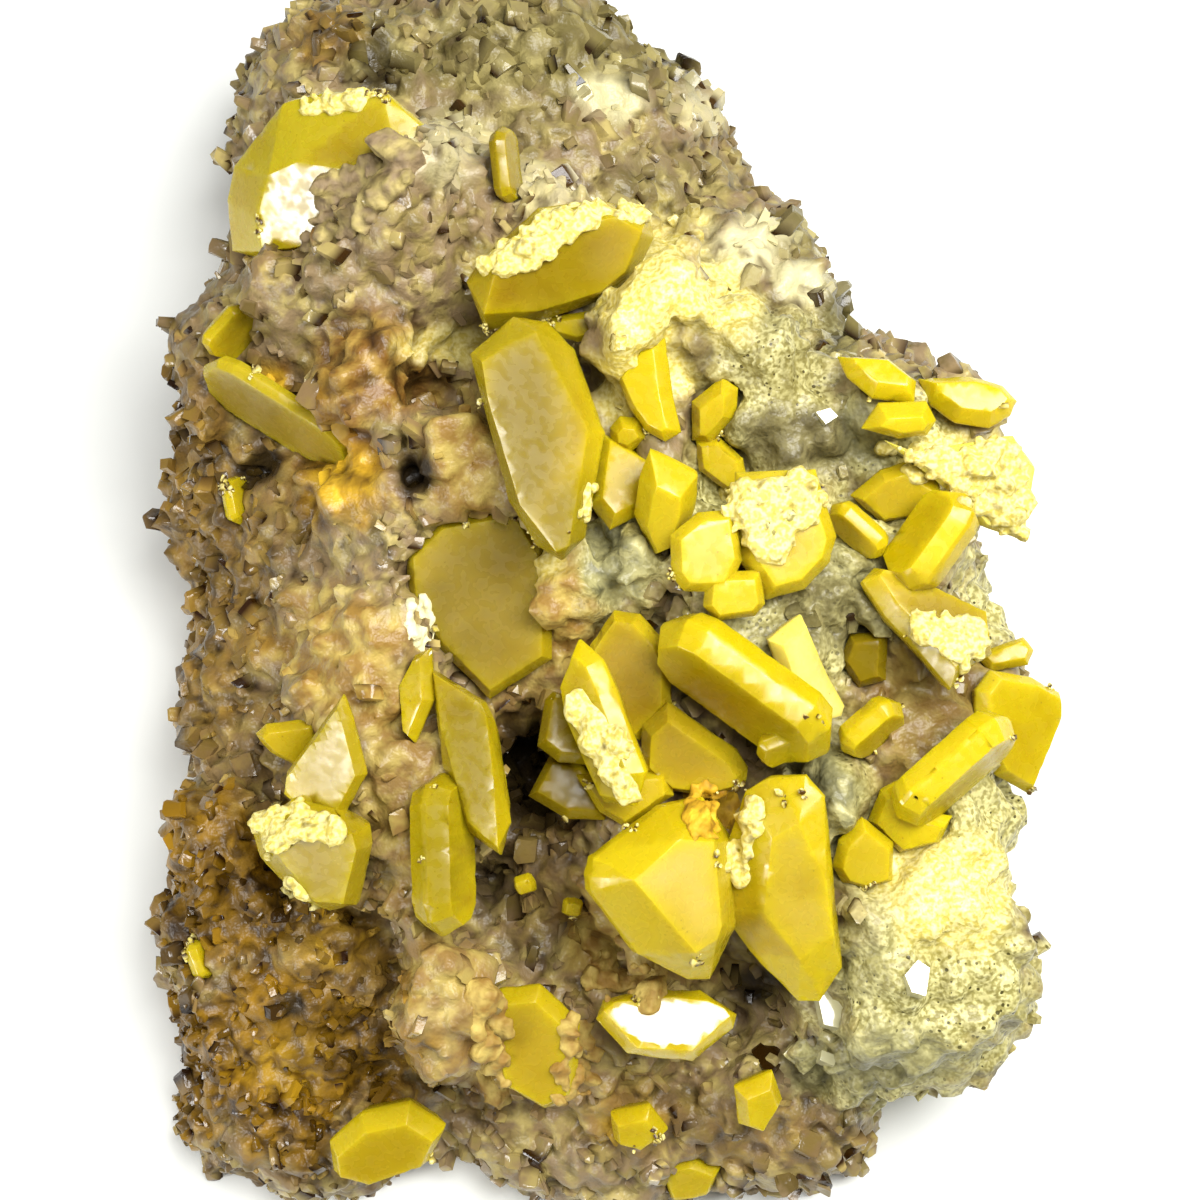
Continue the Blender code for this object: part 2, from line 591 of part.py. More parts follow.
def add_ledges(body):
    """Each ledge as a slab in three rings, which narrows to its showing face and a little to its foot."""
    for rise, depth, (lean_across, lean_up), outline in LEDGES.values():
        places = [on_sheet(u, v) for u, v in outline]
        middle = [sum(place[axis] for place in places) / len(places) for axis in (0, 1)]
        rings = []
        for drop, share in (FACE_RING, OUTLINE_RING, (-depth, FOOT_SHARE)):
            ring = []
            for across, up in places:
                off = (across - middle[0], up - middle[1])
                level = rise + drop + lean_across * off[0] + lean_up * off[1]
                place = true_place(middle[0] + off[0] * share, middle[1] + off[1] * share, level)
                ring.append(body.verts.new(SHOWING_SIDE @ place))
            rings.append(ring)
        faces = [body.faces.new(rings[0]), body.faces.new(rings[-1][::-1])]
        for upper, lower in zip(rings, rings[1:]):
            for spot in range(len(outline)):
                after = (spot + 1) % len(outline)
                faces.append(body.faces.new((upper[spot], lower[spot], lower[after], upper[after])))
        bmesh.ops.recalc_face_normals(body, faces=faces)
        bmesh.ops.triangulate(body, faces=faces)


def in_outline(place, outline):
    """Whether a flat place is inside an outline, by the crossings of a line from it to the right."""
    inside = False
    for (ax, ay), (bx, by) in zip(outline, outline[1:] + outline[:1]):
        if (ay > place[1]) != (by > place[1]):
            inside ^= place[0] < ax + (bx - ax) * (place[1] - ay) / (by - ay)
    return inside


def on_ledge(point):
    """Whether this point of the rock shows inside a ledge's outline."""
    local = SHOWING_SIDE.inverted() @ point
    nearness = (EYE_DISTANCE - local.z) / EYE_DISTANCE * SHEET_UNIT
    place = (SHEET_MIDDLE + local.x / nearness, SHEET_MIDDLE - local.y / nearness)
    return any(in_outline(place, outline) for _, _, _, outline in LEDGES.values())


def bare_faces(mesh, shapes):
    """Pushes rock that lies over a crystal's showing face back into the crystal, where its socket is cut.
    The ledges stay."""
    for outline, thickness, _, lie, _ in shapes.values():
        if (SHOWING_SIDE.inverted() @ lie).to_3x3()[2][2] < BARE_STEEPEST:
            continue
        back = lie.inverted()
        edges = list(zip(outline, outline[1:] + outline[:1]))
        turn = sum(ax * by - bx * ay for (ax, ay), (bx, by) in edges)
        for corner in mesh.vertices:
            place = back @ (corner.co / MM)
            if not 0.0 < place.z < BARE_REACH:
                continue
            inside = all(
                ((bx - ax) * (place.y - ay) - (by - ay) * (place.x - ax)) * turn > 0.0
                for (ax, ay), (bx, by) in edges
            )
            if inside and not on_ledge(corner.co / MM):
                place.z = -BARE_BITE * thickness
                corner.co = lie @ place * MM


def voxel_remesh(obj, size):
    grain = obj.modifiers.new("grain", "REMESH")
    grain.mode = "VOXEL"
    grain.voxel_size = size * MM
    bake_modifiers(obj)


def roughen(mesh):
    """Lumps, clefts and small knobs, pushed out or in along the surface."""
    pushes = []
    for corner in mesh.vertices:
        place = corner.co / MM
        push = SWELL[0] * noise.noise(place / SWELL[1])
        push += KNOB[0] * (KNOB_LEVEL - noise.voronoi(place / KNOB[1])[0][0])
        push += BUMP[0] * noise.noise(place / BUMP[1])
        pushes.append(corner.normal * (push * MM))
    for corner, push in zip(mesh.vertices, pushes):
        corner.co += push


def flatten_base(body):
    whole = [*body.verts, *body.edges, *body.faces]
    cut = bmesh.ops.bisect_plane(body, geom=whole, plane_co=(0, 0, 0), plane_no=(0, 0, 1), clear_inner=True)
    rim = [item for item in cut["geom_cut"] if isinstance(item, bmesh.types.BMEdge)]
    bmesh.ops.holes_fill(body, edges=rim)
    bmesh.ops.triangulate(body, faces=body.faces)


def keep_largest_piece(mesh):
    """The sockets can cut slim chips free of the rock. Only the rock stays."""
    body = bmesh.new()
    body.from_mesh(mesh)
    left = set(body.verts)
    pieces = []
    while left:
        piece = {left.pop()}
        edge = set(piece)
        while edge:
            edge = {e.other_vert(v) for v in edge for e in v.link_edges} - piece
            piece |= edge
        left -= piece
        pieces.append(piece)
    largest = max(pieces, key=len)
    bmesh.ops.delete(body, geom=[v for v in body.verts if v not in largest], context="VERTS")
    bmesh.ops.triangulate(body, faces=body.faces)
    body.to_mesh(mesh)
    body.free()


def rock_object(shapes, collection, cutters):
    heap = lump_body(ROCK_MASSES)
    add_roots(heap, shapes)
    add_ledges(heap)
    rock = mesh_object("matrix", heap, collection)
    voxel_remesh(rock, ROCK_GRAIN)
    hollows = mesh_object("hollows", lump_body(HOLLOWS), cutters)
    hollows.hide_render = True
    hollows.display_type = "WIRE"
    hollow = rock.modifiers.new("hollows", "BOOLEAN")
    hollow.operation = "DIFFERENCE"
    hollow.solver = "EXACT"
    hollow.use_self = True
    hollow.object = hollows
    bake_modifiers(rock)
    voxel_remesh(rock, ROCK_GRAIN)
    roughen(rock.data)
    bare_faces(rock.data, shapes)
    voxel_remesh(rock, ROCK_GRAIN)
    thin = rock.modifiers.new("thin", "DECIMATE")
    thin.ratio = ROCK_FACES / (2 * len(rock.data.polygons))
    bake_modifiers(rock)
    body = bmesh.new()
    body.from_mesh(rock.data)
    flatten_base(body)
    body.to_mesh(rock.data)
    body.free()
    for cutter in [item for item in cutters.objects if item.name.startswith("socket_")]:
        socket = rock.modifiers.new(cutter.name, "BOOLEAN")
        socket.operation = "DIFFERENCE"
        socket.solver = "EXACT"
        socket.object = cutter
    bake_modifiers(rock)
    keep_largest_piece(rock.data)
    return rock


def main():
    for obj in list(bpy.data.objects):
        bpy.data.objects.remove(obj)
    specimen = bpy.data.collections.new("wulfenite_specimen")
    cutters = bpy.data.collections.new("cutters")
    bpy.context.scene.collection.children.link(specimen)
    bpy.context.scene.collection.children.link(cutters)
    shapes = crystal_shapes()
    crystals = crystal_objects(shapes, specimen, cutters)
    rock = rock_object(shapes, specimen, cutters)
    rock.data.materials.clear()
    rock.data.materials.append(material("matrix", ROCK, ROCK_ROUGHNESS))
    for name, crystal in crystals.items():
        colour = TINTS.get(name, YELLOW)
        crystal.data.materials.clear()
        crystal.data.materials.append(material(name, colour, CRYSTAL_ROUGHNESS))


main()
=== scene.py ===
import math

import bmesh
import bpy
import numpy as np
from mathutils import Matrix, Vector, noise
from mathutils.bvhtree import BVHTree
from mathutils.kdtree import KDTree


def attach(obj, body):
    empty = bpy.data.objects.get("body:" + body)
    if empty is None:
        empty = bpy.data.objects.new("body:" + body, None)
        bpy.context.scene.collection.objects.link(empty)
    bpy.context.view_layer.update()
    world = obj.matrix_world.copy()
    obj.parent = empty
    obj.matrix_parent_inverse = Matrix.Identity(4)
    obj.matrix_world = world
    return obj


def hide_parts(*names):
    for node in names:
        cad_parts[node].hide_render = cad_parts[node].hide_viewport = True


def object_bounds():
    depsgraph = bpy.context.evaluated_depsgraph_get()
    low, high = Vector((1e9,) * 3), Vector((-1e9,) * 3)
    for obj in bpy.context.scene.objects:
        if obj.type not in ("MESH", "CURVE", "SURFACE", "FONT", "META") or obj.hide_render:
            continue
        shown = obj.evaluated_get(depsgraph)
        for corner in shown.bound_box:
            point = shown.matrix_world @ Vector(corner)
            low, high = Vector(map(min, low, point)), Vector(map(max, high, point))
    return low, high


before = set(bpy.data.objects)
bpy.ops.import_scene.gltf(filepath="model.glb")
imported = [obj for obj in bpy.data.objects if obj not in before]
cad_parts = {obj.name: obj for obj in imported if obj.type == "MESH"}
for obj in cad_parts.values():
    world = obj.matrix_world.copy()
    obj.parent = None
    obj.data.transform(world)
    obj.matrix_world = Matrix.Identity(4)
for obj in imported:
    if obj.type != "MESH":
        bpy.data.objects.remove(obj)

cad_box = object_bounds()

# The eye over the specimen's showing side, as the photograph was taken: 75 degrees above the table, 130 mm
# from the sheet that lies through the middle of the specimen. Places given as u, v are in the units of that
# sheet, which the picture shows as 1200 by 1200, and rise is the height over it towards the eye.
MM = 0.001
SHEET_UNIT = 0.065 * MM
SHEET_MIDDLE = 600.0
EYE_DISTANCE = 130.0 * MM
SHEET_PLACE = (1.0 * MM, -11.0 * MM, 34.0 * MM)
SHEET_LEAN = 15.0
showing_side = Matrix.Translation(SHEET_PLACE) @ Matrix.Rotation(math.radians(SHEET_LEAN), 4, "X")
camera = bpy.data.objects.new("camera", bpy.data.cameras.new("camera"))
bpy.context.scene.collection.objects.link(camera)
camera.matrix_world = showing_side @ Matrix.Translation((0.0, 0.0, EYE_DISTANCE))
camera.data.sensor_width = 36.0
camera.data.lens = 60.0
camera.data.clip_start = 1.0 * MM
bpy.context.scene.camera = camera


# The ground of the matrix: a loose lump of porous vein rock that broke off with its crystals. It is the
# packed rock with its swells kept, remeshed finely so that knobs, clefts and pits of half a millimetre show.
GROUND_GRAIN = 0.45 * MM
BASE_BAND = 0.7 * MM
LUMP, BLOCK, BEAD = 3.4 * MM, 1.7 * MM, 0.9 * MM
SEED = 7

# Where each mineral coats the rock, and where shade is painted on it: middle and radii on the sheet, and how
# strong the coat is. The shaded zone is painted shade, the pocket zone painted shade with dark stain, and the
# faint white spot over the ridge top partly painted light.
ZONES = {
    "iron": [
        (200, 560, 80, 215, 0.75), (255, 745, 70, 90, 0.45), (225, 880, 110, 95, 1.0), (275, 1060, 150, 110, 1.0),
        (335, 960, 70, 60, 0.8), (262, 400, 70, 36, 0.6), (290, 500, 50, 60, 0.5), (760, 1130, 90, 40, 0.5),
        (330, 40, 40, 26, 0.7), (640, 1120, 60, 40, 0.55), (180, 440, 50, 120, 0.6), (540, 800, 60, 110, 0.45),
        (260, 250, 40, 30, 0.3), (530, 900, 44, 50, 0.35),
    ],
    "ochre": [
        (378, 370, 66, 56, 0.9), (345, 470, 60, 52, 0.9), (340, 420, 40, 40, 0.8), (275, 383, 26, 26, 0.9),
        (700, 640, 30, 30, 0.3), (480, 1050, 30, 60, 0.35), (790, 350, 26, 60, 0.4), (320, 225, 16, 22, 0.8),
    ],
    "pink": [
        (470, 460, 52, 62, 0.9), (350, 660, 72, 76, 0.9), (565, 625, 50, 85, 0.9), (405, 790, 42, 130, 0.7),
        (935, 710, 70, 90, 0.9), (440, 1010, 56, 90, 0.7), (560, 1060, 150, 80, 0.3), (600, 930, 40, 50, 0.8),
        (690, 965, 60, 24, 0.6), (515, 715, 40, 40, 0.5),
    ],
    "porous": [
        (770, 375, 66, 80, 1.0), (770, 440, 80, 50, 1.0), (622, 560, 46, 72, 1.0), (870, 560, 62, 80, 1.0),
        (940, 980, 125, 120, 1.0), (985, 850, 70, 110, 1.0), (880, 1070, 90, 40, 1.0), (770, 640, 90, 60, 1.0),
        (830, 790, 40, 66, 1.0), (1000, 600, 50, 60, 1.0), (900, 440, 60, 60, 1.0), (720, 500, 60, 60, 1.0),
        (860, 850, 60, 40, 0.8),
    ],
    "gold": [
        (708, 812, 26, 32, 1.0), (345, 480, 36, 36, 0.7), (276, 385, 16, 16, 0.8), (335, 940, 30, 30, 0.25),
        (285, 1060, 40, 30, 0.3), (640, 1125, 30, 16, 0.6), (548, 565, 16, 16, 0.4), (790, 600, 26, 20, 0.3),
    ],
    "shaded": [
        (935, 710, 60, 80, 0.6), (785, 440, 60, 36, 0.55), (770, 360, 60, 50, 0.3), (820, 610, 60, 40, 0.35),
        (400, 810, 30, 90, 0.25), (880, 590, 30, 40, 0.3), (900, 1075, 70, 20, 0.1), (470, 470, 50, 60, 0.15),
    ],
    "grey": [
        (622, 570, 34, 46, 1.0), (800, 440, 70, 30, 0.9), (860, 430, 40, 30, 0.9), (830, 600, 60, 56, 0.7),
        (825, 800, 32, 52, 1.0), (880, 1060, 80, 36, 0.7), (740, 320, 40, 20, 0.4), (745, 640, 50, 30, 0.5),
        (870, 930, 30, 60, 0.35), (820, 1070, 50, 24, 0.5),
    ],
    "cream": [
        (655, 285, 66, 70, 1.0), (640, 370, 46, 60, 1.0), (710, 300, 50, 46, 0.8), (960, 900, 60, 60, 0.8),
        (460, 345, 60, 20, 0.7), (980, 470, 60, 40, 0.8), (930, 870, 60, 40, 0.8), (545, 560, 26, 20, 0.7),
        (500, 280, 30, 30, 0.6),
    ],
    "olive": [
        (560, 50, 150, 60, 0.8), (500, 100, 60, 60, 0.5), (800, 300, 30, 60, 0.7), (840, 330, 20, 50, 1.0),
        (380, 60, 40, 40, 0.8), (650, 190, 60, 40, 0.5), (790, 240, 40, 26, 0.7), (700, 170, 40, 26, 0.4),
    ],
    "white": [
        (610, 100, 40, 22, 0.5), (745, 250, 46, 34, 0.7), (540, 190, 36, 26, 0.35), (700, 110, 30, 22, 0.4),
        # The weak spot at 440, 150 over the ridge top is partly painted light: the lit ridge top is made paler.
        (800, 285, 30, 26, 0.7), (440, 150, 50, 34, 0.3), (860, 430, 30, 20, 0.3), (440, 1030, 30, 40, 0.3),
    ],
    # Pockets and hollows: painted shade with some dark stain, where the rock lies in its own shadow.
    "pocket_shade_and_stain": [
        (655, 405, 20, 26, 0.5), (700, 345, 14, 30, 0.45), (770, 455, 50, 16, 0.3),
        (525, 770, 26, 60, 0.9), (492, 885, 26, 30, 0.7), (412, 474, 20, 24, 1.0), (262, 470, 24, 18, 0.9),
        (758, 985, 30, 18, 0.9), (292, 1005, 14, 12, 0.9), (378, 62, 18, 30, 0.8), (560, 810, 30, 16, 0.6),
        (690, 560, 16, 16, 0.4), (240, 380, 10, 20, 0.5), (310, 1040, 60, 40, 0.25), (835, 320, 14, 36, 0.5),
    ],
}
# A coat is full within 0.7 of its radii and gone past 1.25, and its edge wanders by this much.
ZONE_EDGE = 1.25
ZONE_FADE = 0.55
ZONE_WANDER = 0.45


def sheet_place(places):
    """Sheet units u and v, and the rise, of places in the frame."""
    flat = np.asarray(showing_side.inverted())
    local = places @ flat[:3, :3].T + flat[:3, 3]
    nearness = 1.0 - local[:, 2] / EYE_DISTANCE
    u = SHEET_MIDDLE + local[:, 0] / nearness / SHEET_UNIT
    v = SHEET_MIDDLE - local[:, 1] / nearness / SHEET_UNIT
    return u, v, local[:, 2]


def noise_at(places, wavelength, shift=0.0):
    """Smooth noise between about -1 and 1 at each place."""
    away = Vector((shift, -shift, 2.0 * shift))
    return np.array([noise.noise(Vector(place) / wavelength + away) for place in places])


def zone_shares(places):
    """How much of each mineral coats each place, from 0 to 1."""
    u, v, _ = sheet_place(places)
    wander = ZONE_WANDER * (noise_at(places, 3.0 * MM, 11.0) + 0.6 * noise_at(places, 1.1 * MM, 5.0))
    shares = {}
    for mineral, spots in ZONES.items():
        share = np.zeros(len(places))
        for middle_u, middle_v, wide, high, strength in spots:
            away = np.hypot((u - middle_u) / wide, (v - middle_v) / high) + wander
            share = np.maximum(share, strength * np.clip((ZONE_EDGE - away) / ZONE_FADE, 0.0, 1.0))
        shares[mineral] = share
    return shares


def cells_at(places, size):
    """How far inside its cell each place is, from 0 in the cleft between two cells to 1 well inside one."""
    found = np.empty(len(places))
    for row, place in enumerate(places):
        away, _ = noise.voronoi(Vector(place) / size)
        found[row] = min((away[1] - away[0]) / 0.4, 1.0)
    return found


def in_outline(u, v, outline):
    """Which of these sheet places are inside an outline."""
    inside = np.zeros(len(u), bool)
    for (au, av), (bu, bv) in zip(outline, outline[1:] + outline[:1]):
        crossed = (av > v) != (bv > v)
        inside ^= crossed & (u < au + (bu - au) * (v - av) / ((bv - av) or 1.0))
    return inside


def corners_of(mesh):
    places = np.empty(len(mesh.vertices) * 3)
    mesh.vertices.foreach_get("co", places)
    normals = np.empty(len(mesh.vertices) * 3)
    mesh.vertices.foreach_get("normal", normals)
    return places.reshape(-1, 3), normals.reshape(-1, 3)


def set_attribute(mesh, name, values):
    if name not in mesh.attributes:
        mesh.attributes.new(name, "FLOAT", "POINT")
    mesh.attributes[name].data.foreach_set("value", np.ascontiguousarray(values, np.float32))


def place_alone(piece):
    """Puts a new piece in the scene and selects it alone."""
    bpy.context.scene.collection.objects.link(piece)
    bpy.ops.object.select_all(action="DESELECT")
    piece.select_set(True)
    bpy.context.view_layer.objects.active = piece


def copy_of(node, name):
    """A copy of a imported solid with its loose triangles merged, selected alone."""
    piece = bpy.data.objects.new(name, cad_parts[node].data.copy())
    piece.data.materials.clear()
    place_alone(piece)
    bpy.ops.object.mode_set(mode="EDIT")
    bpy.ops.mesh.select_all(action="SELECT")
    bpy.ops.mesh.remove_doubles(threshold=0.002 * MM)
    bpy.ops.object.mode_set(mode="OBJECT")
    return piece


def apply_modifier(piece, kind, **settings):
    modifier = piece.modifiers.new(kind.lower(), kind)
    for field, value in settings.items():
        setattr(modifier, field, value)
    bpy.ops.object.modifier_apply(modifier=modifier.name)


# Ledges that stand out of the ground and pockets that sink into it: how far, and the outline on the sheet.
RELIEF = {
    "ridge": (1.0, [
        (330, 215), (370, 178), (404, 142), (452, 118), (480, 140), (500, 190), (480, 260), (440, 300),
        (390, 330), (330, 300), (300, 270)]),
    "pink_ledge": (1.2, [
        (268, 714), (292, 710), (296, 680), (300, 640), (320, 612), (345, 600), (362, 618), (402, 612),
        (410, 640), (408, 700), (380, 735), (352, 742), (330, 735), (300, 742)]),
    "tan_crust": (1.1, [
        (374, 748), (405, 750), (430, 760), (436, 840), (430, 900), (440, 945), (404, 940), (384, 870),
        (374, 820)]),
    "pale_column": (1.0, [
        (402, 950), (440, 940), (470, 952), (468, 1000), (505, 1012), (484, 1060), (440, 1092), (412, 1062),
        (402, 1010)]),
    "pink_lump": (1.0, [
        (432, 412), (450, 402), (475, 408), (495, 440), (515, 480), (520, 515), (480, 515), (450, 505),
        (425, 515), (412, 500), (420, 470), (415, 440)]),
    "orange_crust": (0.9, [
        (385, 315), (408, 320), (412, 345), (410, 370), (400, 395), (415, 430), (400, 450), (370, 440),
        (350, 420), (318, 420), (300, 405), (320, 385), (350, 360), (365, 335)]),
    "ochre_lump": (1.1, [
        (312, 470), (330, 452), (350, 470), (375, 480), (385, 455), (400, 500), (432, 515), (425, 540),
        (400, 560), (372, 545), (345, 545), (315, 505)]),
    "tip_lump": (0.8, [
        (526, 560), (552, 546), (566, 562), (602, 600), (607, 615), (560, 655), (545, 650), (526, 600)]),
    "cream_ridge": (1.3, [
        (650, 245), (688, 240), (702, 262), (714, 318), (690, 322), (664, 312), (657, 350), (640, 372),
        (618, 380), (600, 372), (588, 360), (600, 332), (615, 318), (618, 300), (630, 275)]),
    "foot_lump": (1.0, [
        (190, 790), (232, 786), (262, 815), (262, 880), (285, 925), (350, 930), (390, 960), (380, 1000),
        (330, 985), (250, 960), (200, 905), (180, 840)]),
    "notch": (-2.2, [(398, 452), (420, 448), (432, 480), (420, 500), (402, 498), (396, 475)]),
    "left_hole": (-1.8, [(242, 462), (262, 452), (286, 462), (284, 484), (258, 492), (244, 482)]),
    "vug": (-2.2, [
        (500, 712), (520, 700), (545, 745), (550, 780), (575, 815), (560, 832), (530, 840), (512, 800)]),
    "vug_low": (-1.2, [(470, 862), (510, 860), (512, 900), (490, 925), (470, 900)]),
    "slot": (-2.0, [(732, 962), (760, 960), (792, 990), (798, 1004), (765, 1002), (740, 985)]),
    "foot_hole": (-1.5, [(282, 998), (296, 992), (306, 1006), (294, 1016)]),
    "back_hole": (-2.0, [(362, 45), (380, 36), (398, 52), (392, 88), (372, 92)]),
}

ground = copy_of("matrix", "matrix_ground")
apply_modifier(ground, "REMESH", mode="VOXEL", voxel_size=GROUND_GRAIN)
apply_modifier(ground, "SMOOTH", factor=0.5, iterations=4)
places, normals = corners_of(ground.data)
shares = zone_shares(places)
rough_coat = np.clip(shares["porous"] + shares["cream"] + 0.5 * shares["iron"], 0.0, 1.0)
u, v, _ = sheet_place(places)
to_eye = np.array(camera.matrix_world.translation) - places
to_eye /= np.linalg.norm(to_eye, axis=1)[:, None]
lift = np.zeros(len(places))
for height, outline in RELIEF.values():
    lift[in_outline(u, v, outline)] = height * MM
lift *= np.clip(2.5 * (normals * to_eye).sum(axis=1), 0.0, 1.0)
places += to_eye * lift[:, None]
blocks = cells_at(places, BLOCK)
beads = cells_at(places, BEAD)
swell = noise_at(places, 3.0 * MM)
grit = noise_at(places, 0.7 * MM, 7.0)
lumps = cells_at(places, LUMP)
push = 0.35 * swell + 0.6 * (1.0 - 0.5 * rough_coat) * (blocks - 0.6) + 0.3 * (beads - 0.6)
push += (1.2 * shares["iron"] + 0.7 * shares["porous"] + 0.4) * (lumps - 0.65)
push += (0.05 + 0.35 * rough_coat) * grit
push *= MM * np.clip((places[:, 2] - BASE_BAND) / BASE_BAND, 0.0, 1.0)
places += normals * push[:, None]
places[:, 2] = np.maximum(places[:, 2], 0.0)
ground.data.vertices.foreach_set("co", places.ravel())
ground.data.update()
bpy.ops.object.shade_smooth()
for mineral, share in shares.items():
    set_attribute(ground.data, mineral, share)
set_attribute(ground.data, "tone", 0.5 + 0.5 * noise_at(places, 2.0 * MM, 17.0))
# The height is low in the clefts between cells; the stone material paints shade there.
set_attribute(ground.data, "height", np.clip(0.15 + 0.5 * blocks + 0.35 * beads, 0.0, 1.0))
print("ground", len(ground.data.polygons) * 2, "triangles")


def hex_colour(code):
    """Linear colour with alpha from an sRGB hex code."""
    parts = [int(code[i:i + 2], 16) / 255.0 for i in (1, 3, 5)]
    return (*[c / 12.92 if c <= 0.04045 else ((c + 0.055) / 1.055) ** 2.4 for c in parts], 1.0)


def add_node(material, kind, sockets=None, **settings):
    """Adds a node to the material, sets its fields, and gives each socket a value or a link."""
    node = material.node_tree.nodes.new(kind)
    for field, value in settings.items():
        setattr(node, field, value)
    for key, value in (sockets or {}).items():
        if isinstance(value, bpy.types.NodeSocket):
            material.node_tree.links.new(value, node.inputs[key])
        else:
            node.inputs[key].default_value = value
    return node


def mixed(material, share, first, second):
    """The colour that lies between two, by a share from 0 to 1."""
    node = add_node(material, "ShaderNodeMix", {0: share, 6: first, 7: second}, data_type="RGBA")
    return node.outputs[2]


def banded(material, value, low, high, out_low=0.0, out_high=1.0):
    sockets = {0: value, 1: low, 2: high, 3: out_low, 4: out_high}
    return add_node(material, "ShaderNodeMapRange", sockets).outputs[0]


def new_material(name):
    material = bpy.data.materials.new(name)
    material.use_nodes = True
    return material, material.node_tree.nodes["Principled BSDF"]


# Vein calcite and quartz that grew as blocky grains, translucent and a little waxy, stained brown by iron
# where the mineral shares say so. Painted shade, with some dirt, darkens the clefts and the low places that
# the height attribute marks. The same stone shows between the grains.
def druse_stone(name, bump_depth, roughness):
    stone, shader = new_material(name)
    spot = add_node(stone, "ShaderNodeTexCoord").outputs["Object"]
    share = {key: add_node(stone, "ShaderNodeAttribute", attribute_name=key).outputs["Fac"]
             for key in (*ZONES, "tone", "height")}
    cloud = add_node(stone, "ShaderNodeTexNoise", {"Vector": spot, "Scale": 700.0, "Detail": 2.0}).outputs[0]
    fine = add_node(stone, "ShaderNodeTexNoise", {"Vector": spot, "Scale": 3000.0, "Detail": 1.0}).outputs[0]
    colour = mixed(stone, share["tone"], hex_colour("#61512A"), hex_colour("#B5A364"))
    colour = mixed(stone, banded(stone, cloud, 0.4, 0.6), hex_colour("#857151"), colour)
    colour = mixed(stone, share["olive"], colour, mixed(
        stone, share["tone"], hex_colour("#544B21"), hex_colour("#9B905A")))
    colour = mixed(stone, share["white"], colour, hex_colour("#EDE5B2"))
    colour = mixed(stone, share["pink"], colour, mixed(
        stone, banded(stone, cloud, 0.4, 0.65), hex_colour("#906E2C"), hex_colour("#BEA656")))
    colour = mixed(stone, share["ochre"], colour, mixed(
        stone, banded(stone, cloud, 0.4, 0.62), hex_colour("#765012"), hex_colour("#A28139")))
    colour = mixed(stone, share["iron"], colour, mixed(
        stone, share["tone"], hex_colour("#3A2501"), hex_colour("#946E14")))
    colour = mixed(stone, share["gold"], colour, mixed(
        stone, share["tone"], hex_colour("#9E7107"), hex_colour("#E7BC28")))
    grit = banded(stone, fine, 0.4, 0.6)
    bubbles = add_node(stone, "ShaderNodeTexVoronoi", {"Vector": spot, "Scale": 1900.0}).outputs["Distance"]
    sparse = banded(stone, cloud, 0.35, 0.65, 0.3, 0.02)
    pit = add_node(stone, "ShaderNodeMath", {0: bubbles, 1: sparse}, operation="GREATER_THAN").outputs[0]
    colour = mixed(stone, share["porous"], colour, mixed(
        stone, grit, hex_colour("#938A4C"), mixed(
            stone, share["tone"], hex_colour("#AEA566"), hex_colour("#E0D998"))))
    # Painted shade in pits: small dark spots in the porous coat, where the bump sinks small holes.
    holes = mixed(stone, pit, hex_colour("#4A441C"), colour)
    colour = mixed(stone, share["porous"], colour, holes)
    colour = mixed(stone, share["grey"], colour, mixed(
        stone, share["tone"], hex_colour("#545238"), hex_colour("#B2AB74")))
    colour = mixed(stone, share["cream"], colour, mixed(
        stone, grit, hex_colour("#CDBA54"), hex_colour("#E8DB8E")))
    # Painted shade: the shaded zone is darkened towards a deep brown.
    colour = mixed(stone, share["shaded"], colour, hex_colour("#4A3A1C"))
    # Painted shade with dark stain in the pockets and hollows, darkened towards near black.
    colour = mixed(stone, share["pocket_shade_and_stain"], colour, hex_colour("#2A1F0C"))
    # Painted shade, with some dirt: places that are low by the height attribute are multiplied darker, towards deep
    # brown.
    level = add_node(stone, "ShaderNodeMath", {
        0: share["pink"], 1: 0.3, 2: share["height"]}, operation="MULTIPLY_ADD").outputs[0]
    shade = mixed(stone, banded(stone, level, 0.15, 0.7), hex_colour("#5A421E"), hex_colour("#FFFFFF"))
    colour = add_node(stone, "ShaderNodeMix", {0: 1.0, 6: colour, 7: shade},
                      data_type="RGBA", blend_type="MULTIPLY").outputs[2]
    grained = add_node(stone, "ShaderNodeMath", {
        0: bubbles, 1: share["porous"], 2: fine}, operation="MULTIPLY_ADD").outputs[0]
    bump = add_node(stone, "ShaderNodeBump", {"Height": grained, "Distance": bump_depth, "Strength": 0.9})
    stone.node_tree.links.new(colour, shader.inputs["Base Color"])
    stone.node_tree.links.new(bump.outputs[0], shader.inputs["Normal"])
    shader.inputs["Roughness"].default_value = roughness
    shader.inputs["IOR"].default_value = 1.55
    shader.inputs["Specular IOR Level"].default_value = 0.35
    return stone


ground.data.materials.append(druse_stone("vein_calcite_ground", 0.1 * MM, 0.42))
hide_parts("matrix")
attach(ground, "root")


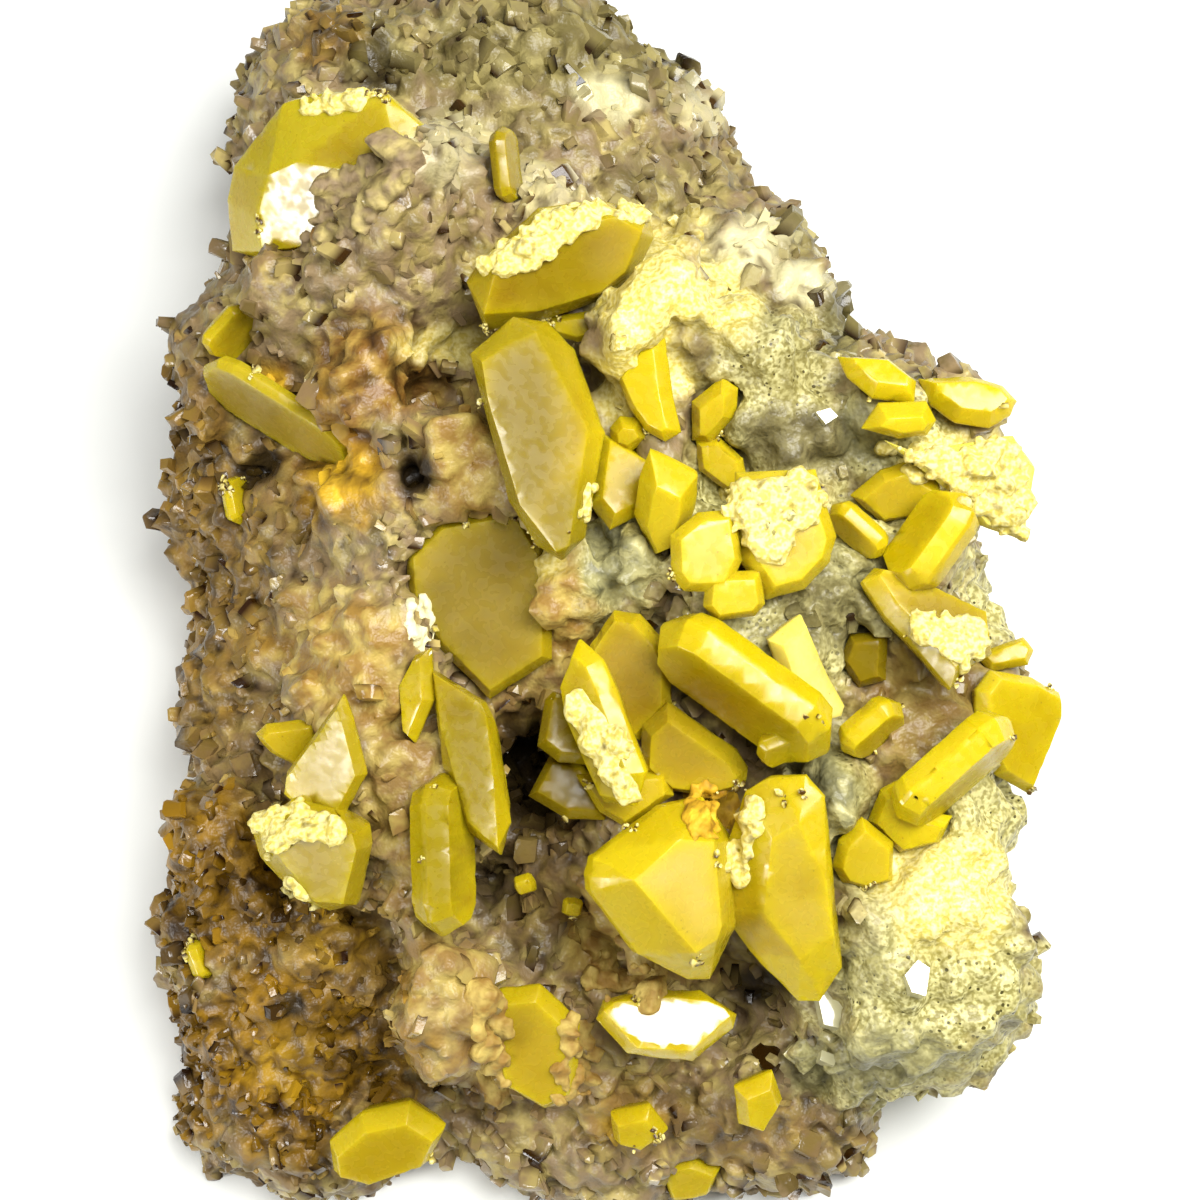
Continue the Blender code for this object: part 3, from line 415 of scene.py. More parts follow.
# The druse: thousands of blocky calcite and quartz grains that grew side by side out of the rock, each a
# sheared block with soft edges. They are modelled once as six shapes and set along the ground.
def grain_shape(stretch, shear, bevel, twist):
    """Corners and triangles of one sheared, bevelled block of about unit size."""
    bpy.ops.object.select_all(action="DESELECT")
    bpy.ops.mesh.primitive_cube_add(size=1.0)
    block = bpy.context.object
    block.scale = stretch
    bpy.ops.object.transform_apply(location=False, rotation=False, scale=True)
    bpy.ops.object.mode_set(mode="EDIT")
    bpy.ops.mesh.select_all(action="DESELECT")
    shaping = bmesh.from_edit_mesh(block.data)
    for corner in shaping.verts:
        corner.select_set(corner.co.z > 0.0)
    shaping.select_flush(True)
    bmesh.update_edit_mesh(block.data)
    bpy.ops.transform.translate(value=(shear[0], shear[1], 0.0))
    bpy.ops.transform.resize(value=(twist, twist, 1.0))
    bpy.ops.mesh.select_all(action="SELECT")
    bpy.ops.mesh.bevel(offset=bevel, segments=1, affect="EDGES")
    bpy.ops.mesh.quads_convert_to_tris()
    bpy.ops.object.mode_set(mode="OBJECT")
    corners, _ = corners_of(block.data)
    triangles = np.array([face.vertices[:] for face in block.data.polygons])
    bpy.data.objects.remove(block)
    return corners, triangles


def crumb_shape(flatness, rough, draws):
    """Corners and triangles of one lumpy crumb of about unit size."""
    bpy.ops.object.select_all(action="DESELECT")
    bpy.ops.mesh.primitive_cube_add(size=0.8)
    crumb = bpy.context.object
    bpy.ops.object.mode_set(mode="EDIT")
    bpy.ops.mesh.subdivide(number_cuts=1)
    bpy.ops.transform.tosphere(value=0.65)
    bpy.ops.transform.resize(value=(1.0, 1.0, flatness))
    bpy.ops.mesh.quads_convert_to_tris()
    bpy.ops.object.mode_set(mode="OBJECT")
    corners, _ = corners_of(crumb.data)
    corners += draws.uniform(-rough, rough, corners.shape)
    triangles = np.array([face.vertices[:] for face in crumb.data.polygons])
    bpy.data.objects.remove(crumb)
    return corners, triangles


draws = np.random.default_rng(SEED)
BLOCKS = [
    grain_shape((1.0, 0.9, 1.0), (0.25, 0.1), 0.11, 0.85), grain_shape((0.8, 1.1, 1.3), (-0.2, 0.2), 0.09, 0.7),
    grain_shape((1.2, 0.9, 0.7), (0.1, -0.3), 0.09, 0.9), grain_shape((0.7, 0.7, 1.5), (0.15, 0.15), 0.08, 0.6),
    grain_shape((1.1, 1.1, 0.8), (0.35, 0.0), 0.12, 0.75), grain_shape((1.0, 0.5, 1.1), (0.0, 0.25), 0.08, 0.8),
]
CRUMBS = [crumb_shape(flatness, 0.1, draws) for flatness in (1.0, 0.8, 0.7, 0.9, 1.1)]

crystal_points = []
crystal_faces = []
for node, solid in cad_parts.items():
    if node == "matrix":
        continue
    start = len(crystal_points)
    crystal_points += [corner.co.copy() for corner in solid.data.vertices]
    crystal_faces += [[start + index for index in face.vertices] for face in solid.data.polygons]
crystals_tree = BVHTree.FromPolygons(crystal_points, crystal_faces)


def clearance(places):
    """Distance from each place to the nearest crystal, below zero inside one."""
    found = np.empty(len(places))
    for row, place in enumerate(places):
        near, facing, _, distance = crystals_tree.find_nearest(Vector(place))
        found[row] = -distance if (Vector(place) - near).dot(facing) < 0.0 else distance
    return found


def spread_over(mesh, spacing, wanted, draws):
    """Even places over a mesh where wanted(places) draws true: place, normal."""
    mesh.calc_loop_triangles()
    corners, normals = corners_of(mesh)
    triangles = np.empty(len(mesh.loop_triangles) * 3, np.int32)
    mesh.loop_triangles.foreach_get("vertices", triangles)
    triangles = triangles.reshape(-1, 3)
    a, b, c = (corners[triangles[:, side]] for side in range(3))
    areas = np.linalg.norm(np.cross(b - a, c - a), axis=1) / 2.0
    count = int(3.0 * areas.sum() / spacing ** 2)
    picks = draws.choice(len(areas), count, p=areas / areas.sum())
    shares = draws.dirichlet((1.0, 1.0, 1.0), count)
    places = sum(shares[:, [side]] * corners[triangles[picks, side]] for side in range(3))
    facing = sum(shares[:, [side]] * normals[triangles[picks, side]] for side in range(3))
    facing /= np.linalg.norm(facing, axis=1)[:, None]
    cells = np.floor(places / spacing).astype(np.int64)
    _, first = np.unique(cells, axis=0, return_index=True)
    places, facing = places[first], facing[first]
    kept = wanted(places) & (places[:, 2] > 0.6 * MM)
    return places[kept], facing[kept]


def grain_turns(facing, lean, draws):
    """Turn matrices that stand grains along these normals, each leaning and spun its own way."""
    up = facing + draws.normal(0.0, lean, facing.shape)
    up /= np.linalg.norm(up, axis=1)[:, None]
    side = np.cross(up, draws.normal(size=facing.shape))
    side /= np.linalg.norm(side, axis=1)[:, None]
    return np.stack([side, np.cross(up, side), up], axis=2)


TOP_ROOM = 0.3 * MM
TOP_PRESS = 0.7
# Angles in degrees over which an edge of a grain shows sharp.
BLOCK_CREASE = 38.0
CRUMB_CREASE = 60.0


def under_top(heights):
    """Heights with what rises over the CAD's top pressed down, so that the visual stays in its box."""
    return heights - TOP_PRESS * np.maximum(heights - cad_box[1][2] - TOP_ROOM, 0.0)


def joined_grains(name, places, turns, sizes, shapes, draws, sharp, shares=None):
    """One mesh of all these grains, with the mineral shares, a tone and the height over its foot on each."""
    picks = draws.integers(len(shapes), size=len(places))
    stretch = np.eye(3) * draws.uniform(0.8, 1.25, (len(places), 1, 3))
    stretch = stretch + draws.uniform(-0.2, 0.2, (len(places), 3, 3))
    tones = np.clip(draws.beta(1.6, 1.6, len(places)) + 0.5 * noise_at(places, 3.5 * MM, 31.0), 0.0, 1.0)
    shares = shares or zone_shares(places)
    points, faces, owners, heights, start = [], [], [], [], 0
    for number, (corners, triangles) in enumerate(shapes):
        rows = np.flatnonzero(picks == number)
        if not len(rows):
            continue
        uneven = corners + draws.normal(0.0, 0.045, (len(rows), *corners.shape))
        grown = np.einsum("nij,nkj->nki", turns[rows] @ stretch[rows], uneven) * sizes[rows, None, None]
        grown += places[rows][:, None, :]
        grown[:, :, 2] = under_top(np.maximum(grown[:, :, 2], 0.02 * MM))
        points.append(grown.reshape(-1, 3))
        shifts = start + np.arange(len(rows)) * len(corners)
        faces.append((triangles[None] + shifts[:, None, None]).reshape(-1, 3))
        owners.append(np.repeat(rows, len(corners)))
        # The height over each grain's foot: the stone material paints shade low on the grain.
        heights.append(np.tile(corners[:, 2] + 0.5, len(rows)))
        start += len(rows) * len(corners)
    points, faces, owners = np.concatenate(points), np.concatenate(faces), np.concatenate(owners)
    mesh = bpy.data.meshes.new(name)
    mesh.vertices.add(len(points))
    mesh.vertices.foreach_set("co", points.ravel())
    mesh.loops.add(faces.size)
    mesh.loops.foreach_set("vertex_index", faces.ravel())
    mesh.polygons.add(len(faces))
    mesh.polygons.foreach_set("loop_start", np.arange(len(faces)) * 3)
    mesh.update(calc_edges=True)
    for mineral, share in shares.items():
        set_attribute(mesh, mineral, np.broadcast_to(share, len(places))[owners])
    set_attribute(mesh, "tone", tones[owners])
    set_attribute(mesh, "height", np.concatenate(heights))
    piece = bpy.data.objects.new(name, mesh)
    place_alone(piece)
    bpy.ops.object.shade_smooth_by_angle(angle=math.radians(sharp))
    print(name, len(places), "grains", len(faces), "triangles")
    return piece


def share_at(places, *minerals):
    shares = zone_shares(places)
    return np.clip(sum(shares[mineral] for mineral in minerals), 0.0, 1.0)


druse = druse_stone("drusy_calcite_grains", 0.04 * MM, 0.22)
# Spacing and grain size in mm, shapes, and the part of the sheet that the grains cover. These grains are grown
# together with the ground: they are joined to it and remeshed into one skin.
DRUSE_BEDS = {
    "ridge_druse": (0.9, 1.5, BLOCKS, lambda u, v: (v < 480) & (u < 560)),
    "side_druse": (0.8, 1.35, BLOCKS, lambda u, v: (v >= 480) & (v < 830) & (u < 480)),
    "foot_druse": (0.68, 1.05, CRUMBS[:2] + BLOCKS, lambda u, v: (v >= 830) & (u < 420)),
    "middle_druse": (0.9, 1.5, BLOCKS, lambda u, v: (v >= 480) & (u >= 420) & (u < 820)),
    "back_druse": (0.95, 1.5, BLOCKS + CRUMBS[:1], lambda u, v: (v < 480) & (u >= 560)),
    "right_druse": (0.9, 1.2, CRUMBS[:2] + BLOCKS[:2], lambda u, v: (v >= 480) & (u >= 820)),
}
SKIN_GRAIN = 0.3 * MM
SKIN_TRIANGLES = 195000
grown = []
for bed, (spacing, size, shapes, inside) in DRUSE_BEDS.items():
    def wanted(places):
        u, v, _ = sheet_place(places)
        bare = share_at(places, "pink", "ochre", "porous", "cream")
        return inside(u, v) & (draws.random(len(places)) > 0.97 * bare)

    places, facing = spread_over(ground.data, spacing * MM, wanted, draws)
    free = clearance(places)
    sizes = size * MM * draws.lognormal(0.0, 0.3, len(places)) * (1.0 + 0.4 * noise_at(places, 4.0 * MM, 9.0))
    sizes = np.minimum(np.minimum(sizes, 1.4 * size * MM), 0.7 * MM + 1.2 * np.maximum(free, 0.0))
    kept = free > 0.1 * MM
    places = places - facing * (0.2 * sizes)[:, None]
    grown.append(joined_grains(
        bed, places[kept], grain_turns(facing[kept], 0.45, draws), sizes[kept], shapes, draws, BLOCK_CREASE))
COATS = {"ochre": (0.9, 1.2), "pink": (1.1, 1.3), "porous": (0.55, 0.75), "cream": (0.55, 0.8)}
for coat, (spacing, size) in COATS.items():
    def wanted(places):
        return draws.random(len(places)) < 1.4 * share_at(places, coat) - 0.3

    places, facing = spread_over(ground.data, spacing * MM, wanted, draws)
    kept = clearance(places) > 0.2 * MM
    places, facing = places[kept], facing[kept]
    shapes = CRUMBS if coat in ("porous", "cream") else BLOCKS + CRUMBS[:2]
    sizes = size * MM * draws.lognormal(0.0, 0.4, len(places))
    places = places - facing * (0.42 * sizes)[:, None]
    grown.append(joined_grains(
        coat + "_grains", places, grain_turns(facing, 0.5, draws), sizes, shapes, draws, CRUMB_CREASE))
bare_rock = BVHTree.FromPolygons(
    [corner.co.copy() for corner in ground.data.vertices], [face.vertices[:] for face in ground.data.polygons])
grain_tones = KDTree(sum(len(piece.data.vertices) for piece in grown) // 4 + len(grown))
tone_values = []
for piece in grown:
    tones = np.empty(len(piece.data.vertices), np.float32)
    piece.data.attributes["tone"].data.foreach_get("value", tones)
    for corner, tone in zip(list(piece.data.vertices)[::4], tones[::4]):
        grain_tones.insert(corner.co, len(tone_values))
        tone_values.append(tone)
grain_tones.balance()
bpy.ops.object.select_all(action="DESELECT")
for piece in (*grown, ground):
    piece.select_set(True)
bpy.context.view_layer.objects.active = ground
bpy.ops.object.join()
apply_modifier(ground, "REMESH", mode="VOXEL", voxel_size=SKIN_GRAIN)
apply_modifier(ground, "SMOOTH", factor=0.5, iterations=1)
apply_modifier(ground, "DECIMATE", ratio=SKIN_TRIANGLES / (2.0 * len(ground.data.polygons)))
places, _ = corners_of(ground.data)
places[:, 2] = under_top(np.maximum(places[:, 2], 0.0))
ground.data.vertices.foreach_set("co", places.ravel())
ground.data.update()
bpy.ops.object.shade_smooth_by_angle(angle=math.radians(50.0))
shares = zone_shares(places)
for mineral, share in shares.items():
    set_attribute(ground.data, mineral, share)
set_attribute(ground.data, "tone", np.array([tone_values[grain_tones.find(place)[1]] for place in places]))
rise = np.array([bare_rock.find_nearest(Vector(place))[3] for place in places])
coat = np.clip(shares["porous"] + shares["cream"] + 0.5 * shares["pink"], 0.0, 1.0)
# The height over the bare rock, raised in the coats: the stone material paints shade where it is low.
set_attribute(ground.data, "height", np.clip(0.2 + 0.35 * coat + rise / (0.7 * MM), 0.0, 1.0))
print("skin", len(ground.data.polygons), "triangles")

# Sharp grains that stand clear of the skin here and there, as the last ones to grow.
SHARP_FROM = 0.78
for bed, (spacing, size, shapes, inside) in DRUSE_BEDS.items():
    def wanted(places):
        u, v, _ = sheet_place(places)
        bare = share_at(places, "pink", "ochre", "porous", "cream")
        return inside(u, v) & (draws.random(len(places)) > SHARP_FROM + (1.0 - SHARP_FROM) * bare)

    places, facing = spread_over(ground.data, 1.1 * spacing * MM, wanted, draws)
    free = clearance(places)
    sizes = 0.75 * size * MM * draws.lognormal(0.0, 0.3, len(places))
    sizes = np.minimum(np.minimum(sizes, 1.2 * size * MM), 0.4 * MM + 1.2 * np.maximum(free, 0.0))
    kept = free > 0.1 * MM
    places = places - facing * (0.2 * sizes)[:, None]
    piece = joined_grains(
        bed, places[kept], grain_turns(facing[kept], 0.5, draws), sizes[kept], BLOCKS, draws, BLOCK_CREASE)
    piece.data.materials.append(druse)
    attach(piece, "root")


# The crusts: a powdery secondary mineral, cream to grey, and a few grains that settled on the crystals. Each
# patch is crumbs grown together, by its outline on the sheet: spacing and size in mm, mineral and shapes.
CRYSTAL_CRUSTS = {
    "wedge_crust": (0.4, 0.65, "cream", CRUMBS, [
        (480, 262), (504, 241), (543, 215), (562, 205), (592, 203), (614, 211), (634, 201), (648, 217),
        (640, 224), (614, 217), (582, 228), (562, 242), (534, 264), (510, 280), (495, 272)]),
    "arch_crust": (0.4, 0.6, "cream", CRUMBS, [
        (301, 97), (340, 92), (384, 93), (373, 98), (347, 110), (325, 114), (303, 112)]),
    "plate_side_crust": (0.45, 0.65, "cream", CRUMBS, [
        (746, 803), (760, 803), (762, 825), (752, 845), (748, 885), (735, 886), (725, 865), (728, 845), (740, 835)]),
    "block_top_crust": (0.42, 0.65, "cream", CRUMBS, [
        (254, 828), (262, 808), (300, 800), (345, 832), (340, 842), (302, 828), (280, 842), (270, 862)]),
    "block_foot_crust": (0.55, 0.8, "cream", CRUMBS, [(280, 872), (300, 876), (308, 902), (290, 905)]),
    "blocks_between_crust": (0.7, 0.95, "pink", BLOCKS, [
        (577, 925), (600, 935), (640, 962), (681, 985), (665, 1000), (610, 1002), (588, 975)]),
    "twin_crust": (0.45, 0.7, "cream", CRUMBS, [
        (728, 490), (745, 474), (775, 480), (800, 475), (828, 500), (820, 530), (795, 520), (785, 560),
        (768, 568), (750, 545), (733, 530)]),
    "blade_crust": (0.42, 0.75, "cream", CRUMBS, [
        (572, 705), (592, 700), (604, 725), (625, 745), (638, 795), (626, 806), (606, 780), (588, 750)]),
    "orange_granules": (0.4, 0.6, "gold", CRUMBS, [
        (686, 800), (694, 784), (715, 780), (736, 795), (728, 825), (712, 842), (690, 835)]),
    "ridge_over_plate": (0.55, 0.95, "none", BLOCKS, [
        (322, 176), (345, 168), (380, 160), (408, 136), (428, 130), (404, 190), (345, 240), (300, 256),
        (306, 236), (322, 215)]),
    "low_plate_crust": (0.36, 0.45, "white", CRUMBS, [(402, 605), (425, 590), (438, 620), (430, 655), (408, 645)]),
    "tall_side_crust": (0.5, 0.6, "cream", CRUMBS, [(583, 478), (596, 488), (590, 520), (578, 518)]),
    "leaning_crust": (0.4, 0.6, "cream", CRUMBS, [
        (905, 620), (930, 608), (985, 628), (990, 655), (960, 668), (938, 650)]),
    "sheet_crust": (0.5, 0.75, "cream", CRUMBS, [
        (885, 445), (930, 448), (990, 436), (1018, 445), (1032, 470), (1026, 538), (1000, 530), (960, 500),
        (940, 482), (910, 475)]),
    "foot_plate_crust": (0.6, 0.95, "pink", CRUMBS, [
        (476, 985), (498, 992), (512, 1030), (506, 1070), (512, 1100), (478, 1085)]),
    "foot_plate_side": (0.6, 0.9, "pink", CRUMBS, [(566, 1016), (592, 1020), (596, 1095), (558, 1110), (556, 1066)]),
    "twin_grey_crust": (0.4, 0.5, "porous", CRUMBS, [
        (745, 500), (770, 485), (800, 490), (790, 520), (770, 545), (752, 530)]),
}
crystals_and_ground = BVHTree.FromPolygons(
    crystal_points + [corner.co.copy() for corner in ground.data.vertices],
    crystal_faces + [[len(crystal_points) + index for index in face.vertices] for face in ground.data.polygons])
eye = camera.matrix_world.translation


def seen_from_eye(u, v):
    """Place and normal of what shows at each of these sheet places."""
    found = []
    for across, up in zip((u - SHEET_MIDDLE) * SHEET_UNIT, (SHEET_MIDDLE - v) * SHEET_UNIT):
        place, facing, _, _ = crystals_and_ground.ray_cast(eye, showing_side @ Vector((across, up, 0.0)) - eye)
        if place is not None:
            found.append((*place, *facing))
    found = np.array(found)
    return found[:, :3], found[:, 3:]


def grown_together(piece, mineral):
    """Makes one lumpy skin of a piece's grains, all of one mineral."""
    apply_modifier(piece, "REMESH", mode="VOXEL", voxel_size=CRUST_GRAIN)
    apply_modifier(piece, "SMOOTH", factor=0.5, iterations=1)
    bpy.ops.object.shade_smooth()
    places, _ = corners_of(piece.data)
    for key in ZONES:
        set_attribute(piece.data, key, np.full(len(places), float(key == mineral)))
    set_attribute(piece.data, "tone", np.clip(0.5 + 0.8 * noise_at(places, 0.9 * MM, 31.0), 0.0, 1.0))
    set_attribute(piece.data, "height", np.clip(0.8 + 0.6 * noise_at(places, 0.5 * MM, 3.0), 0.0, 1.0))


CRUST_GRAIN = 0.17 * MM
crust_stone = druse_stone("powdery_crust", 0.12 * MM, 0.7)
for crust, (spacing, size, mineral, shapes, outline) in CRYSTAL_CRUSTS.items():
    low, high = np.min(outline, axis=0), np.max(outline, axis=0)
    step = spacing * MM / SHEET_UNIT
    u, v = (side.ravel() for side in np.meshgrid(
        np.arange(low[0], high[0], step), np.arange(low[1], high[1], step)))
    u, v = u + draws.uniform(-0.5, 0.5, len(u)) * step, v + draws.uniform(-0.5, 0.5, len(v)) * step
    kept = in_outline(u, v, outline)
    places, facing = seen_from_eye(u[kept], v[kept])
    sizes = size * MM * draws.lognormal(0.0, 0.4, len(places))
    piece = joined_grains(crust, places, grain_turns(facing, 0.5, draws), sizes, shapes, draws, CRUMB_CREASE)
    grown_together(piece, mineral)
    piece.data.materials.append(crust_stone)
    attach(piece, "root")


# The wulfenite: flat, square to eight-sided crystals of lead molybdate, grown free in the cavity. Their
# broad faces are frosted and milky, and their sloping edge faces are clear, so the yellow shows deepest there.
EDGE_SHARP = 12.0
EDGE_STEP = 0.16 * MM
LATTICE = 0.55 * MM
# How milky the broad faces are, and how deep the colour is, from lemon to amber.
LOOKS = {
    "arch_plate": (0.1, 0.1), "tall_plate": (0.3, 0.3), "wedge_plate": (0.1, 0.4), "low_plate": (0.6, 0.5),
    "brown_face": (0.0, 0.7), "dull_block": (0.3, 0.4), "shaded_plate": (0.2, 0.35), "edge_block": (0.25, 0.15),
    "twin_right": (0.9, 0.05), "crusted_blade": (0.05, 0.1), "bar_apron": (0.3, 0.4), "inner_plate": (0.1, 0.5),
    "inner_foot": (0.1, 0.3), "big_block": (0.1, 0.3), "mirror_plate": (0.1, 0.35), "corner_plate": (0.1, 0.15),
    "corner_block": (0.4, 0.1), "corner_end": (0.1, 0.15), "cream_sheet": (1.0, 0.0), "shelf_plate": (0.3, 0.4),
    "leaning_plate": (0.4, 0.4), "outer_plate": (0.8, 0.0), "right_blade": (0.1, 0.1), "pale_plate": (1.0, 0.2),
    "amber_plate": (0.1, 0.8), "slim_plate": (0.15, 0.3), "left_block": (0.4, 0.4), "kite_chip": (0.2, 0.6),
    "foot_plate": (0.3, 0.4), "long_bar": (0.0, 0.2), "short_rod": (0.05, 0.2), "left_blade": (0.7, 0.1),
}
PLAIN_LOOK = (0.2, 0.3)
# Where the crystals are milky, deep amber, or darkened with painted shade, on the sheet: middle, radii and strength.
CLOUDS = {
    "milk": [
        (702, 895, 34, 56, 1.0), (625, 245, 34, 40, 0.7), (335, 750, 24, 50, 0.8), (325, 865, 36, 40, 0.6),
        (525, 400, 30, 80, 0.4), (575, 520, 30, 60, 0.5), (480, 600, 50, 60, 0.5), (700, 555, 44, 50, 1.0),
        (800, 540, 40, 40, 0.9), (735, 595, 30, 20, 1.0),
        (635, 665, 40, 40, 0.8), (800, 900, 26, 60, 0.45), (470, 740, 20, 60, 0.25), (930, 760, 50, 40, 0.3),
    ],
    "painted_crystal_shade": [
        (565, 530, 40, 60, 0.5), (505, 160, 40, 60, 0.35), (860, 655, 40, 40, 0.5), (330, 740, 30, 60, 0.3),
        (240, 330, 30, 30, 0.3), (760, 740, 60, 30, 0.3),
        (520, 430, 50, 130, 0.55), (325, 150, 100, 70, 0.25), (560, 270, 84, 60, 0.38), (475, 600, 76, 90, 0.46),
        (330, 760, 50, 60, 0.3), (315, 860, 60, 60, 0.35), (470, 760, 45, 100, 0.38), (440, 850, 30, 90, 0.45),
        (930, 650, 60, 60, 0.4), (690, 700, 60, 40, 0.2), (240, 410, 60, 60, 0.3), (560, 770, 60, 60, 0.4),
    ],
    "depth": [
        (495, 285, 30, 26, 0.7), (585, 450, 16, 90, 0.5), (690, 710, 70, 40, 0.8), (745, 870, 16, 60, 0.5),
        (600, 880, 24, 50, 0.3), (240, 220, 16, 50, 0.4), (470, 680, 90, 16, 0.4),
    ],
}


def wulfenite(name, clear_hex, deep_hex, milk_hex, through, lustre=0.02):
    """Yellow lead molybdate: adamantine lustre, clear colour at the edges and a milky skin on broad faces."""
    crystal, shader = new_material(name)
    spot = add_node(crystal, "ShaderNodeTexCoord").outputs["Object"]
    share = {key: add_node(crystal, "ShaderNodeAttribute", attribute_name=key).outputs["Fac"]
             for key in ("rim", "milk", "depth", "painted_crystal_shade", "facet", "mirror")}
    veil = add_node(crystal, "ShaderNodeTexNoise", {
        "Vector": spot, "Scale": 220.0, "Detail": 2.0, "Distortion": 0.6}).outputs[0]
    fine = add_node(crystal, "ShaderNodeTexNoise", {"Vector": spot, "Scale": 1500.0, "Detail": 1.0}).outputs[0]
    clear = mixed(crystal, share["depth"], hex_colour(clear_hex), hex_colour(deep_hex))
    clear = mixed(crystal, banded(crystal, veil, 0.5, 0.72, 0.0, 0.4), clear, hex_colour(deep_hex))
    skin = mixed(crystal, banded(crystal, veil, 0.3, 0.65, 1.0, 0.45), clear, hex_colour(milk_hex))
    body = mixed(crystal, share["milk"], clear, skin)
    # Painted light and shade per face: a dim face is taken half way to the deep colour.
    body = mixed(crystal, share["facet"], mixed(crystal, 0.5, body, hex_colour(deep_hex)), body)
    # The rims are clear colour with a painted glow: a share of bright lemon stands in for light along the thin
    # edges.
    colour = mixed(crystal, share["rim"], body, mixed(crystal, 0.3, clear, hex_colour("#EEDC20")))
    # Painted shade: parts of crystals are darkened towards near black where they lie in shade.
    colour = mixed(crystal, share["painted_crystal_shade"], colour, hex_colour("#2A2004"))
    specks = add_node(crystal, "ShaderNodeTexVoronoi", {"Vector": spot, "Scale": 1100.0}).outputs["Distance"]
    colour = mixed(crystal, banded(crystal, specks, 0.05, 0.08, 0.5, 1.0), hex_colour("#6A4E10"), colour)
    bump = add_node(crystal, "ShaderNodeBump", {
        "Height": fine, "Distance": 0.015 * MM,
        "Strength": banded(crystal, share["mirror"], 0.0, 1.0, 0.5, 0.0)})
    crystal.node_tree.links.new(colour, shader.inputs["Base Color"])
    crystal.node_tree.links.new(bump.outputs[0], shader.inputs["Normal"])
    satin = banded(crystal, fine, 0.35, 0.65, 0.18, 0.36)
    polish = add_node(crystal, "ShaderNodeMath", {
        0: satin, 1: banded(crystal, share["mirror"], 0.0, 1.0, 1.0, 0.15)}, operation="MULTIPLY")
    crystal.node_tree.links.new(polish.outputs[0], shader.inputs["Roughness"])
    shader.inputs["IOR"].default_value = 2.3
    shader.inputs["Specular IOR Level"].default_value = lustre
    shader.inputs["Transmission Weight"].default_value = through
    shader.inputs["Subsurface Weight"].default_value = 0.5
    shader.inputs["Subsurface Radius"].default_value = (1.0, 0.75, 0.05)
    shader.inputs["Subsurface Scale"].default_value = 1.5 * MM
    inside = add_node(crystal, "ShaderNodeVolumeAbsorption", {"Color": hex_colour("#F0DA30"), "Density": 220.0})
    ending = crystal.node_tree.nodes["Material Output"]
    crystal.node_tree.links.new(inside.outputs[0], ending.inputs["Volume"])
    return crystal


# Clear colour, deep colour, milky skin, how much light goes through, and the lustre.
FINISHES = {
    "wulfenite": wulfenite("wulfenite_yellow", "#C4AD00", "#8E6800", "#D0B65A", 0.18),
    "mirror_faced": wulfenite("wulfenite_mirror_faced", "#C6B400", "#A07400", "#DCC650", 0.2, 0.12),
    "wulfenite_amber": wulfenite("wulfenite_amber", "#A88A08", "#7E5C08", "#A08030", 0.06),
    "wulfenite_cream": wulfenite("wulfenite_cream", "#E0CE5C", "#C0A750", "#F0E49A", 0.05),
}
FINISH_OF = {
    "amber_plate": "wulfenite_amber", "brown_face": "wulfenite_amber", "inner_foot": "wulfenite_amber",
    "cream_sheet": "wulfenite_cream", "pale_plate": "wulfenite_cream",
    "arch_plate": "mirror_faced", "mirror_plate": "mirror_faced",
}

# Single faces that show lighter or deeper than the rest of their crystal, by a place on the sheet: how milky,
# how deep and how bright. The brightness is painted light and shade on that face.
FACETS = {
    (690, 880): (1.0, 0.0, 1.0), (612, 862): (0.0, 0.2, 1.0), (655, 965): (0.3, 0.1, 0.7),
    (780, 860): (0.1, 0.2, 1.0), (800, 950): (0.35, 0.1, 0.8), (752, 900): (0.0, 0.5, 0.4),
    (330, 770): (0.6, 0.1, 0.9), (345, 880): (0.4, 0.4, 1.0), (300, 850): (1.0, 0.0, 1.0),
    (700, 655): (0.0, 0.1, 1.0), (765, 735): (0.0, 0.8, 0.5), (790, 705): (0.1, 0.1, 1.0),
    (470, 770): (0.15, 0.2, 0.8), (435, 860): (0.1, 0.3, 0.7), (500, 610): (0.6, 0.4, 0.8),
    (540, 430): (0.5, 0.3, 0.8), (560, 265): (0.0, 0.35, 0.7), (655, 380): (0.1, 0.1, 0.7),
    (705, 550): (1.0, 0.0, 1.0), (735, 595): (0.9, 0.0, 1.0), (800, 560): (0.7, 0.0, 1.0),
    (925, 540): (0.0, 0.2, 0.9), (955, 525): (0.8, 0.0, 1.0), (1015, 720): (0.0, 0.2, 1.0),
    (385, 1140): (0.0, 0.5, 1.0), (520, 1060): (0.2, 0.35, 0.6), (870, 375): (0.0, 0.2, 0.8),
    (890, 415): (0.3, 0.1, 1.0), (965, 395): (0.0, 0.2, 0.9),
}
MIRRORS = ("arch_plate", "mirror_plate")


def distance_to_edges(places, edges):
    """Distance from each place to the nearest of these straight edges."""
    nearest = np.full(len(places), 1.0)
    for start, end in edges:
        along = end - start
        share = np.clip((places - start) @ along / max(along @ along, 1e-18), 0.0, 1.0)
        nearest = np.minimum(nearest, np.linalg.norm(places - start - share[:, None] * along, axis=1))
    return nearest


def lattice_cut(piece, spacing, along, aside):
    """Cuts a crystal's faces by two sets of parallel planes, so that no face is wider than the spacing."""
    body = bmesh.new()
    body.from_mesh(piece.data)
    for way in (along, aside):
        reach = [corner.co.dot(way) for corner in body.verts]
        for step in np.arange(min(reach) + spacing / 2.0, max(reach), spacing):
            whole = [*body.verts, *body.edges, *body.faces]
            bmesh.ops.bisect_plane(body, geom=whole, plane_co=way * float(step), plane_no=way, dist=1e-8)
    bmesh.ops.triangulate(body, faces=[face for face in body.faces if len(face.verts) > 4])
    body.to_mesh(piece.data)
    body.free()


